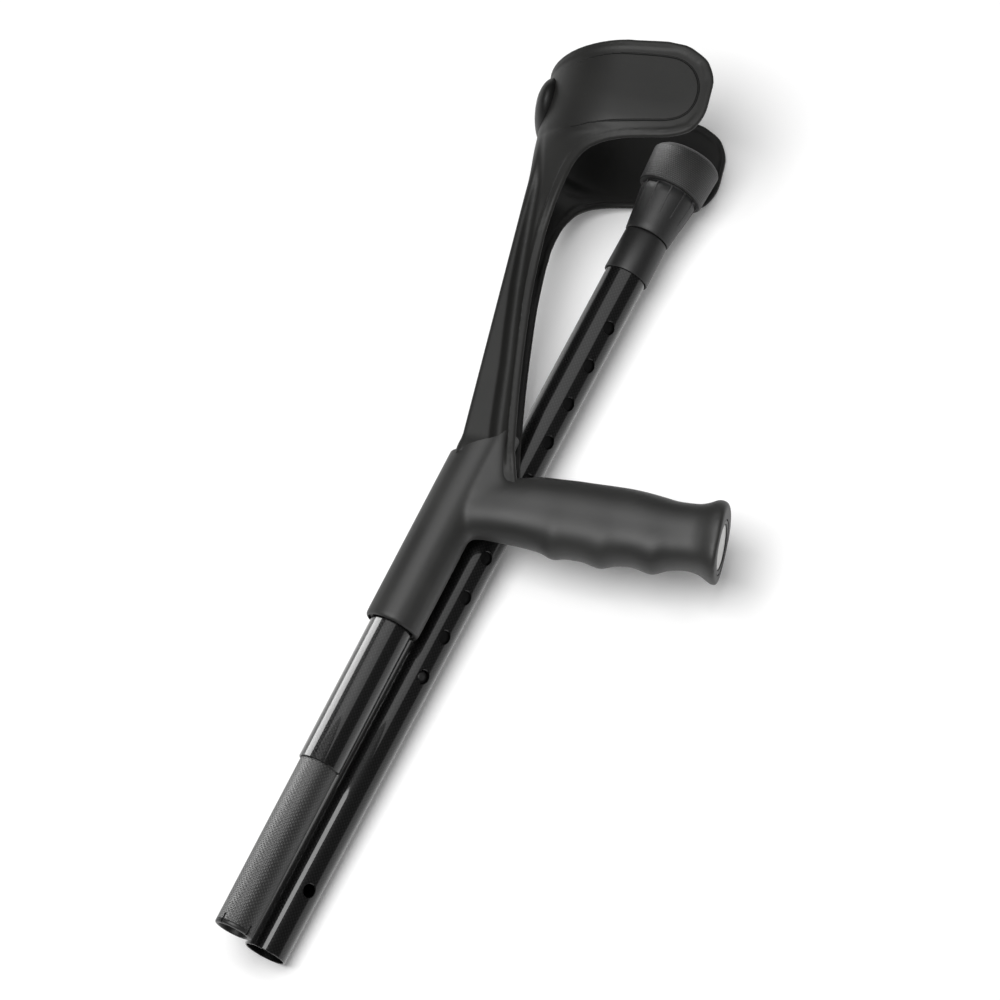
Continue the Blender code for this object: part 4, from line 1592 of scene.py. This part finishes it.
@dataclass
class Grip(Assembly):
    """The soft cover over the sleeve and the handle, and the ring and disc in the handle's end.

    A station holds the distance along the handle and the heights above, below and to the sides of its axis.
    """

    sleeve_radius: float = 0.0155
    sleeve_start: float = 0.1860
    sleeve_top: float = 0.3144
    sleeve_edge: float = 0.0006
    bore: float = 0.0139
    bore_ends: tuple[float, float] = (0.10, 0.34)
    core_bore: float = 0.0121
    core_gap: float = 0.0001
    core_set_back: float = 0.0012
    length: float = 0.1475
    sections: int = 110
    fullness: float = 2.6
    web_half: float = 0.0132
    web_edge: float = 0.0020
    voxel: float = 0.00085
    relaxing: int = 32
    root_relaxing: int = 60
    root_middle: float = 0.0165
    root_half: float = 0.0105
    root_height: float = 0.232
    root_run: float = 0.010
    swelling: float = 0.00018
    recess_radius: float = 0.0155
    recess_depth: float = 0.0033
    hollow_radius: float = 0.0118
    hollow_start: float = 0.016
    cut_end: float = 0.17
    top_half: float = 0.03
    stations: Table = (
        (0.000, 0.0145, 0.0145, 0.0118),
        (0.006, 0.0160, 0.0160, 0.0122),
        (0.012, 0.0172, 0.0190, 0.0128),
        (0.020, 0.0176, 0.0180, 0.0137),
        (0.032, 0.0183, 0.0182, 0.0147),
        (0.044, 0.0211, 0.0190, 0.0152),
        (0.051, 0.0216, 0.0200, 0.0154),
        (0.058, 0.0221, 0.0226, 0.0155),
        (0.0655, 0.0225, 0.0208, 0.0155),
        (0.073, 0.0227, 0.0208, 0.0155),
        (0.084, 0.0232, 0.0230, 0.0154),
        (0.0925, 0.0233, 0.0200, 0.0153),
        (0.101, 0.0229, 0.0190, 0.0151),
        (0.112, 0.0218, 0.0212, 0.0149),
        (0.121, 0.0206, 0.0172, 0.0147),
        (0.131, 0.0210, 0.0154, 0.0149),
        (0.137, 0.0226, 0.0160, 0.0164),
        (0.1425, 0.0252, 0.0190, 0.0186),
        (0.1455, 0.0250, 0.0204, 0.0192),
        (0.1475, 0.0228, 0.0198, 0.0186),
    )
    ring: Profile = (
        (0.0152, 0.0030), (0.0152, 0.0004), (0.0148, 0.0), (0.0132, 0.0), (0.0128, 0.0004),
        (0.0128, 0.0030), (0.0152, 0.0030),
    )
    disc: Profile = (
        (0.0, 0.0030), (0.0125, 0.0030), (0.0125, 0.0010), (0.0122, 0.0007), (0.0106, 0.0007),
        (0.0103, 0.0009), (0.0100, 0.0007), (0.0, 0.0006),
    )
    web: Profile = (
        (0.0122, -0.0360), (0.0230, 0.0110), (0.0262, 0.0110), (0.0276, 0.0021), (0.0296, -0.0080),
        (0.0318, -0.0200), (0.0345, -0.0290), (0.0400, -0.0360),
    )
    top_edge: Profile = (
        (-0.0300, -0.0125), (-0.0020, -0.0098), (0.0026, -0.0098), (0.0067, -0.0082), (0.0141, -0.0042),
        (0.0191, -0.0018), (0.0235, 0.0012), (0.0262, 0.0052), (0.0340, 0.0052), (0.0340, 0.0500),
        (-0.0300, 0.0500),
    )

    def build(self) -> None:
        """Builds the cover, the sleeve in it and the parts in the handle's end."""
        self.build_cover()
        self.build_sleeve()
        self.build_end("handle_end_ring", self.ring, Finish.BLACK_PLASTIC, "grip_end_ring")
        self.build_end("handle_end_disc", self.disc, Finish.PALE_METAL, "grip_end_disc")

    def build_cover(self) -> None:
        """Joins sleeve, web and handle into one skin, softens it, and cuts its bores and its top edge."""
        radius, start, top = self.sleeve_radius, self.sleeve_start, self.sleeve_top
        eased_start = [(0.0, start), (radius - self.sleeve_edge, start), (radius, start + self.sleeve_edge)]
        cover = Bench.turn("soft_cover", [*eased_start, (radius, top), (0.0, top)])
        Bench.settle(cover, ALONG_Y)
        handle = self.handle_form()
        Bench.settle(handle, HANDLE_IN_TUBE)
        web = Bench.plate("web_form", self.web, -self.web_half, self.web_half, self.web_edge)
        Bench.settle(web, ARM_IN_TUBE)
        Bench.fuse(self.voxel, cover, handle, web)
        self.soften(cover)
        self.trim(cover)
        self.hand_over(cover, TUBE_FRAME, Body.UPPER, Finish.SOFT_GRIP, "grip_cover", 40.0)

    def handle_form(self) -> Piece:
        """Lofts the handle through circles that are resized at each station.

        Returns:
            The handle along X, closed at both ends.
        """
        Bench.clear()
        bpy.ops.mesh.primitive_circle_add(vertices=64, radius=1.0, rotation=(0.0, math.pi / 2.0, 0.0))
        made = Bench.named("handle_form")
        bpy.ops.object.transform_apply(location=True, rotation=True, scale=True)
        table = np.array(self.stations)
        wanted = np.linspace(table[0, 0], table[-1, 0], self.sections)
        above, below, side = (eased(table[:, 0], table[:, index], wanted) for index in (1, 2, 3))
        old_tall, old_wide, old_middle, old_along = 1.0, 1.0, 0.0, 0.0
        with Bench.editing(outwards=True):
            bpy.ops.mesh.edge_face_add()
            for number, (along, high, low, wide) in enumerate(zip(wanted, above, below, side)):
                tall, middle = (high + low) / 2.0, (high - low) / 2.0
                move = (along - old_along, middle - old_middle, 0.0)
                if number:
                    bpy.ops.mesh.extrude_region_move(TRANSFORM_OT_translate={"value": move})
                else:
                    bpy.ops.transform.translate(value=move)
                size = (1.0, tall / old_tall, wide / old_wide)
                bpy.ops.transform.resize(value=size, center_override=(along, middle, 0.0))
                old_tall, old_wide, old_middle, old_along = tall, wide, middle, along
        self.square_up(made)
        return made

    def square_up(self, handle: Piece) -> None:
        """Fills the handle's sections out from plain ellipses to the fuller shape of a moulded grip.

        Args:
            handle: The handle along X.
        """
        spots = Bench.spots(handle)
        turn = np.arctan2(spots[:, 2], spots[:, 1])
        power = self.fullness
        fuller = (np.abs(np.cos(turn)) ** power + np.abs(np.sin(turn)) ** power) ** (-1.0 / power)
        spots[:, 1:] *= fuller[:, None]
        Bench.lay(handle, spots)

    def soften(self, cover: Piece) -> None:
        """Smooths the joined skin, so that its corners become fillets, and the handle's root once more.

        Args:
            cover: The skin.
        """
        Bench.relax(cover, self.relaxing)
        root = cover.vertex_groups.new(name="handle_root")
        for vertex in cover.data.vertices:
            share = ease(1.0 - abs(vertex.co.x - self.root_middle) / self.root_half)
            share *= ease((vertex.co.y - self.root_height) / self.root_run)
            if share > 0.0:
                root.add([vertex.index], share, "REPLACE")
        Bench.relax(cover, self.root_relaxing, root.name)
        Bench.modify(cover, "DISPLACE", strength=self.swelling, mid_level=0.0)

    def trim(self, cover: Piece) -> None:
        """Cuts the tube's bore, the end recess, the handle's hollow and the edge where the moulding begins.

        Args:
            cover: The skin.
        """
        recess_start = self.length - self.recess_depth
        for tool, place in (
            (Bench.rod("bore", self.bore, *self.bore_ends), ALONG_Y),
            (Bench.rod("recess", self.recess_radius, recess_start, self.cut_end), HANDLE_AXIS_IN_TUBE),
            (Bench.rod("hollow", self.hollow_radius, self.hollow_start, self.cut_end), HANDLE_AXIS_IN_TUBE),
            (self.top_block(), ARM_IN_TUBE),
        ):
            Bench.cut(cover, tool, place, Solver.MANIFOLD)
        Bench.keep_largest(cover)

    def top_block(self) -> Piece:
        """Makes the block whose underside is the line where the cover ends and the moulding begins."""
        return Bench.plate("top_block", self.top_edge, -self.top_half, self.top_half)

    def build_sleeve(self) -> None:
        """Builds the moulding's inner sleeve, which fills the cover up to its top edge."""
        outer, inner = self.bore - self.core_gap, self.core_bore
        low, high = self.sleeve_start + self.core_set_back, self.sleeve_top
        walls = [(inner, low), (outer, low), (outer, high), (inner, high), (inner, low)]
        sleeve = Bench.turn("moulding_inner_sleeve", walls)
        Bench.settle(sleeve, ALONG_Y)
        Bench.cut(sleeve, self.top_block(), ARM_IN_TUBE)
        self.hand_over(sleeve, TUBE_FRAME, Body.UPPER, Finish.MOULDING, "arm_support", 40.0)

    def build_end(self, name: str, profile: Profile, finish: Finish, node: str) -> None:
        """Builds a turned part in the handle's end.

        Args:
            name: Name of the piece.
            profile: Radius and depth below the handle's end of each ring.
            finish: Its finish.
            node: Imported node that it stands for.
        """
        part = Bench.turn(name, [(radius, self.length - depth) for radius, depth in profile])
        self.hand_over(part, HANDLE_AXIS, Body.UPPER, finish, node, 30.0)


@dataclass
class UpperTube(Assembly):
    """The glossy upper tube and the satin spigot with its slotted end."""

    radius: float = 0.0120
    bore: float = 0.0111
    edge: float = 0.0003
    start: float = 0.1001
    end: float = 0.2882
    spigot_radius: float = 0.01075
    spigot_bore: float = 0.00985
    spigot_edge: float = 0.0002
    spigot_start: float = 0.0022
    spigot_end: float = 0.155
    lock_hole: float = 0.0603
    lock_hole_radius: float = 0.0037
    insert_bore: float = 0.0082
    insert_neck: float = 0.0096
    insert_end: float = 0.0200
    insert_edge: float = 0.00025
    rim_level: float = 0.0006
    rim_edge: float = 0.0004
    lip: Profile = ((0.0010, 0.0), (0.0003, 0.0003), (0.0, 0.0009), (0.0, 0.0021))
    slits: int = 4
    slit_turn: float = 60.8
    slit_half: float = 0.0006
    slit_inner: float = 0.0097
    slit_levels: tuple[float, float] = (-0.01, 0.0056)

    def build(self) -> None:
        """Builds the tube, the spigot and the slotted end."""
        tube = Bench.turn("upper_carbon_tube", pipe(self.radius, self.bore, self.start, self.end, self.edge))
        Bench.unroll(tube)
        self.hand_over(tube, UPPER_FRAME, Body.UPPER, Finish.GLOSSY_CARBON, "upper_tube")
        self.build_spigot()
        self.build_insert()

    def build_spigot(self) -> None:
        """Builds the spigot with the hole of its lock button."""
        outer, inner, edge = self.spigot_radius, self.spigot_bore, self.spigot_edge
        spigot = Bench.turn("spigot_tube_skin", pipe(outer, inner, self.spigot_start, self.spigot_end, edge))
        facing = UPPER_FRAME.inverted().to_3x3() @ LOCK_BUTTON_WAY
        drill = Bench.rod("lock_drill", self.lock_hole_radius, 0.0, OUTSIDE_TUBES, 48)
        Bench.cut(spigot, drill, towards((0.0, 0.0, self.lock_hole), tuple(facing)))
        self.slit(spigot)
        Bench.unroll(spigot)
        self.hand_over(spigot, UPPER_FRAME, Body.UPPER, Finish.SATIN_CARBON, "spigot_tube")

    def build_insert(self) -> None:
        """Builds the plastic end of the spigot, with four slits between rounded tongues."""
        bore, neck = self.insert_bore, self.insert_neck
        lip = [(self.spigot_radius - inset, level) for inset, level in self.lip]
        rim = [(bore, self.rim_level), (bore + self.rim_edge, 0.0)]
        back = [(neck, self.lip[-1][1]), (neck, self.insert_end), (bore, self.insert_end)]
        insert = Bench.turn("spigot_slotted_end", [*rim, *lip, *back, rim[0]])
        self.slit(insert)
        Bench.bevel(insert, self.insert_edge)
        self.hand_over(insert, UPPER_FRAME, Body.UPPER, Finish.BLACK_PLASTIC, "spigot_insert")

    def slit(self, piece: Piece) -> None:
        """Cuts the narrow slits of the spigot's end into a piece.

        Args:
            piece: The tube or the plastic end, not yet in its place.
        """
        inner, outer, half = self.slit_inner, OUTSIDE_TUBES, self.slit_half
        outline = [(inner, -half), (outer, -half), (outer, half), (inner, half)]
        for number in range(self.slits):
            cutter = Bench.plate("slit", outline, *self.slit_levels)
            turn = math.radians(self.slit_turn + 360.0 / self.slits * number)
            Bench.cut(piece, cutter, Matrix.Rotation(turn, 4, "Z"))


@dataclass
class Leg(Assembly):
    """The glossy lower leg with its row of holes, its collar, and the telescoping tube in it."""

    radius: float = 0.0120
    bore: float = 0.0111
    edge: float = 0.0003
    length: float = 0.4487
    hole: float = 0.00375
    hole_edge: float = 0.0004
    hole_sink: float = 0.0001
    bit_ends: tuple[float, float] = (0.004, 0.018)
    lock_hole: float = 0.0393
    first_hole: float = 0.1718
    pitch: float = 0.025
    holes: int = 10
    inner_radius: float = 0.01075
    inner_bore: float = 0.00985
    inner_edge: float = 0.0002
    inner_start: float = 0.1518
    inner_end: float = 0.4999
    button_hole: float = 0.0037
    collar_start: float = 0.4310
    collar_end: float = 0.4572
    collar_bore: float = 0.0123
    collar_gap: float = 0.0003
    collar_mouth: float = 0.01105
    collar_front: Profile = ((0.0123, 0.0002), (0.0127, 0.0), (0.0130, 0.0002), (0.0131, 0.0006))
    collar_back: Profile = ((0.0128, 0.0016), (0.0126, 0.0006), (0.0121, 0.0))

    def build(self) -> None:
        """Builds the drilled tube, the collar and the inner tube."""
        tube = Bench.turn("leg_carbon_tube", pipe(self.radius, self.bore, 0.0, self.length, self.edge))
        for number in range(self.holes):
            self.drill(tube, self.first_hole + number * self.pitch, 1.0)
        for side in (-1.0, 1.0):
            self.drill(tube, self.lock_hole, side)
        Bench.unroll(tube)
        self.hand_over(tube, LEG_FRAME, Body.LEG, Finish.GLOSSY_CARBON, "leg_tube")
        self.build_collar()
        self.build_inner()

    def drill(self, tube: Piece, height: float, side: float) -> None:
        """Drills one hole with an eased edge.

        Args:
            tube: The tube.
            height: Distance of the hole from the open end.
            side: 1 for the side that faces up, -1 for the other.
        """
        hole, edge = self.hole, self.hole_edge
        lip = self.radius - self.hole_sink
        low, high = self.bit_ends
        tip = [(0.0, low), (hole, low), (hole, lip - edge), (hole + edge, lip)]
        bit = Bench.turn("bit", [*tip, (hole + 1.5 * edge, high), (0.0, high)], 48)
        Bench.cut(tube, bit, towards((0.0, 0.0, height), (side, 0.0, 0.0)))

    def build_collar(self) -> None:
        """Builds the collar over the leg's end."""
        stop = self.length + self.collar_gap
        front = [(radius, self.collar_start + level) for radius, level in self.collar_front]
        back = [(radius, self.collar_end - level) for radius, level in self.collar_back]
        mouth = [(self.collar_mouth, self.collar_end), (self.collar_mouth, stop), (self.collar_bore, stop)]
        collar = Bench.turn("leg_end_collar", [*front, *back, *mouth, front[0]])
        self.hand_over(collar, LEG_FRAME, Body.LEG, Finish.BLACK_PLASTIC, "leg_collar", 30.0)

    def build_inner(self) -> None:
        """Builds the telescoping tube with the hole of its button."""
        outer, bore, edge = self.inner_radius, self.inner_bore, self.inner_edge
        inner = Bench.turn("telescope_tube", pipe(outer, bore, self.inner_start, self.inner_end, edge))
        drill = Bench.rod("button_drill", self.button_hole, 0.0, OUTSIDE_TUBES, 48)
        Bench.cut(inner, drill, towards((0.0, 0.0, self.first_hole), (1.0, 0.0, 0.0)))
        Bench.unroll(inner)
        self.hand_over(inner, LEG_FRAME, Body.FOOT, Finish.GREY_METAL, "inner_tube")


@dataclass
class RubberFoot(Assembly):
    """The rubber ferrule: a ribbed barrel and a wide foot.

    The barrel's rings lie above its start, the brim's above the foot's start and the tread's below the end.
    The crest holds a rib's radii at its thin end, at its shoulder and at its thick end.
    """

    start: float = 0.4575
    foot_start: float = 0.4870
    end: float = 0.5115
    barrel: Profile = (
        (0.01105, 0.0004), (0.0116, 0.0), (0.01285, 0.0), (0.01325, 0.0005), (0.01375, 0.0045),
        (0.0147, 0.0130), (0.0160, 0.0235),
    )
    brim: Profile = (
        (0.0164, -0.0022), (0.0158, -0.0012), (0.0158, 0.0), (0.0184, 0.0), (0.0189, 0.0004),
        (0.0191, 0.0010), (0.0196, 0.0120),
    )
    tread: Profile = (
        (0.0200, 0.0045), (0.01995, 0.0032), (0.0190, 0.0018), (0.0175, 0.0006), (0.0155, 0.0),
        (0.0130, 0.0), (0.0125, 0.0006), (0.0105, 0.0006), (0.0100, 0.0), (0.0060, 0.0),
        (0.0055, 0.0006), (0.0, 0.0006),
    )
    ribs: int = 12
    rib_half: float = 0.0005
    rib_edge: float = 0.0003
    rib_root: float = 0.0135
    rib_start: float = 0.0120
    rib_gap: float = 0.0004
    rib_crest: tuple[float, float, float] = (0.0147, 0.0166, 0.0171)
    rib_shoulder: float = 0.0022

    def build(self) -> None:
        """Builds the turned rubber and joins the ribs of the barrel to it."""
        rings = [(radius, self.start + level) for radius, level in self.barrel]
        rings += [(radius, self.foot_start + level) for radius, level in self.brim]
        rings += [(radius, self.end - level) for radius, level in self.tread]
        ferrule = Bench.turn("rubber_ferrule", rings)
        Bench.unroll(ferrule)
        first = self.rib()
        ribs = [first]
        for number in range(1, self.ribs):
            rib = first.copy()
            rib.data = first.data.copy()
            bpy.context.scene.collection.objects.link(rib)
            Bench.settle(rib, Matrix.Rotation(2.0 * math.pi * number / self.ribs, 4, "Z"))
            ribs.append(rib)
        Bench.join(ferrule, *ribs)
        self.hand_over(ferrule, LEG_FRAME, Body.FOOT, Finish.FOOT_RUBBER, "ferrule", 38.0)

    def rib(self) -> Piece:
        """Makes one thin rib that stands on the barrel and fades towards its small end.

        Returns:
            The rib, in its place.
        """
        low, high = self.start + self.rib_start, self.foot_start - self.rib_gap
        thin, shoulder, thick = self.rib_crest
        crest = [(thin, low), (shoulder, high - self.rib_shoulder), (thick, high)]
        outline = [(self.rib_root, low), *crest, (self.rib_root, high)]
        made = Bench.plate("barrel_rib", outline, -self.rib_half, self.rib_half, self.rib_edge)
        Bench.settle(made, Matrix.Rotation(math.pi / 2.0, 4, "X"))
        return made


@dataclass
class HiddenParts(Assembly):
    """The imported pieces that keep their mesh: buttons, springs, plugs, pin and washer."""

    plastic: tuple[str, ...] = ("lock_button", "leg_guide_plug", "inner_tube_plug", "height_button")
    steel: tuple[str, ...] = (
        "sleeve_pin",
        "lock_leaf",
        "lock_spring_base",
        "height_leaf",
        "height_spring_base",
        "ferrule_washer",
    )

    def build(self) -> None:
        """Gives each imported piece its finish."""
        for finish, names in ((Finish.BLACK_PLASTIC, self.plastic), (Finish.STEEL, self.steel)):
            for name in names:
                self.palette.paint(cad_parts[name], finish)
                LOG.info("%s: packed mesh, %s", name, finish.slot)


@dataclass(frozen=True)
class Lamp:
    """One soft rectangular lamp, which lights everything or only the pieces that it names."""

    name: str
    place: Point
    aim: Point
    width: float
    height: float
    power: float
    lights_only: tuple[str, ...] = ()

    def hang(self) -> None:
        """Hangs the lamp."""
        data = bpy.data.lights.new(self.name, "AREA")
        data.shape = "RECTANGLE"
        data.size = self.width
        data.size_y = self.height
        data.energy = self.power
        made = bpy.data.objects.new(self.name, data)
        made.matrix_world = axes(self.place, (0.0, 1.0, 0.0), tuple(Vector(self.place) - Vector(self.aim)))
        bpy.context.scene.collection.objects.link(made)
        if self.lights_only:
            lit = bpy.data.collections.new("lit_by_" + self.name)
            for name in self.lights_only:
                lit.objects.link(bpy.data.objects[name])
            made.light_linking.receiver_collection = lit


@dataclass
class Studio:
    """The pale floor, the soft lamps and the camera."""

    floor_colour: Colour = grey(0.9)
    floor_size: float = 12.0
    floor_level: float = -0.0005
    floor_glow: float = 0.12
    floor_roughness: float = 0.9
    floor_specular: float = 0.1
    room_light: float = 0.12
    lamps: tuple[Lamp, ...] = (
        Lamp("key", (-0.25, -0.35, 1.9), ORIGIN, 1.1, 1.2, 36.0),
        Lamp(
            "left_strip",
            (-0.794, 0.27, 0.303),
            (0.0, 0.0, 0.03),
            0.85,
            0.62,
            20.0,
            ("upper_carbon_tube", "spigot_tube_skin", "rubber_ferrule"),
        ),
        Lamp("ceiling", (0.0, 0.46, 1.42), (0.0, 0.0, 0.03), 0.62, 1.6, 5.0),
    )
    camera_place: Point = (0.603815, -0.719307, 2.237455)
    camera_right: Point = (0.88974, 0.44384, -0.10675)
    camera_up: Point = (-0.37464, 0.84357, 0.38481)
    camera_look: Point = (-0.26084, 0.30239, -0.91680)
    lens: float = 158.46
    sensor: float = 36.0
    clip: tuple[float, float] = (0.01, 100.0)

    def build(self) -> None:
        """Builds everything that isn't the crutch."""
        self.build_floor()
        self.build_world()
        for lamp in self.lamps:
            lamp.hang()
            LOG.info("%s: lamp of %g W", lamp.name, lamp.power)
        self.build_camera()
        bpy.context.scene.view_settings.view_transform = "Standard"

    def build_floor(self) -> None:
        """Lays the floor, which is pure white to the camera and keeps the shadow."""
        Bench.clear()
        bpy.ops.mesh.primitive_plane_add(size=self.floor_size, location=(0.0, 0.0, self.floor_level))
        floor = Bench.named("floor")
        board = Board("floor_paper")
        rays = board.node("ShaderNodeLightPath").socket.node.outputs
        camera, glossy, through = (
            Signal(board, rays[name]) for name in ("Is Camera Ray", "Is Glossy Ray", "Is Transmission Ray")
        )
        glow = board.mix(camera + glossy + through, grey(0.0), grey(self.floor_glow))
        board.dress(
            Base_Color=self.floor_colour,
            Roughness=self.floor_roughness,
            Specular_IOR_Level=self.floor_specular,
            Emission_Color=glow,
            Emission_Strength=1.0,
        )
        floor.data.materials.append(board.material)

    def build_world(self) -> None:
        """Fills the room with even light."""
        world = bpy.data.worlds.new("studio_room")
        bpy.context.scene.world = world
        world.use_nodes = True
        backdrop = world.node_tree.nodes["Background"]
        backdrop.inputs["Color"].default_value = (1.0, 1.0, 1.0, 1.0)
        backdrop.inputs["Strength"].default_value = self.room_light

    def build_camera(self) -> None:
        """Sets the camera where the photograph was taken from."""
        data = bpy.data.cameras.new("camera")
        data.lens = self.lens
        data.sensor_width = self.sensor
        data.clip_start, data.clip_end = self.clip
        made = bpy.data.objects.new("camera", data)
        back = -Vector(self.camera_look)
        turn = Matrix((Vector(self.camera_right), Vector(self.camera_up), back)).transposed()
        made.location = self.camera_place
        made.rotation_mode = "QUATERNION"
        made.rotation_quaternion = turn.to_quaternion()
        bpy.context.scene.collection.objects.link(made)
        bpy.context.scene.camera = made


def main() -> None:
    """Builds the crutch and the studio."""
    logging.basicConfig(level=logging.INFO, format="%(message)s")
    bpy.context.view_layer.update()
    cuff = ArmSupport()
    groups = (cuff, BackOval(cuff), Grip(), UpperTube(), Leg(), RubberFoot(), HiddenParts(), Studio())
    for group in groups:
        group.build()


if __name__ == "__main__":
    main()
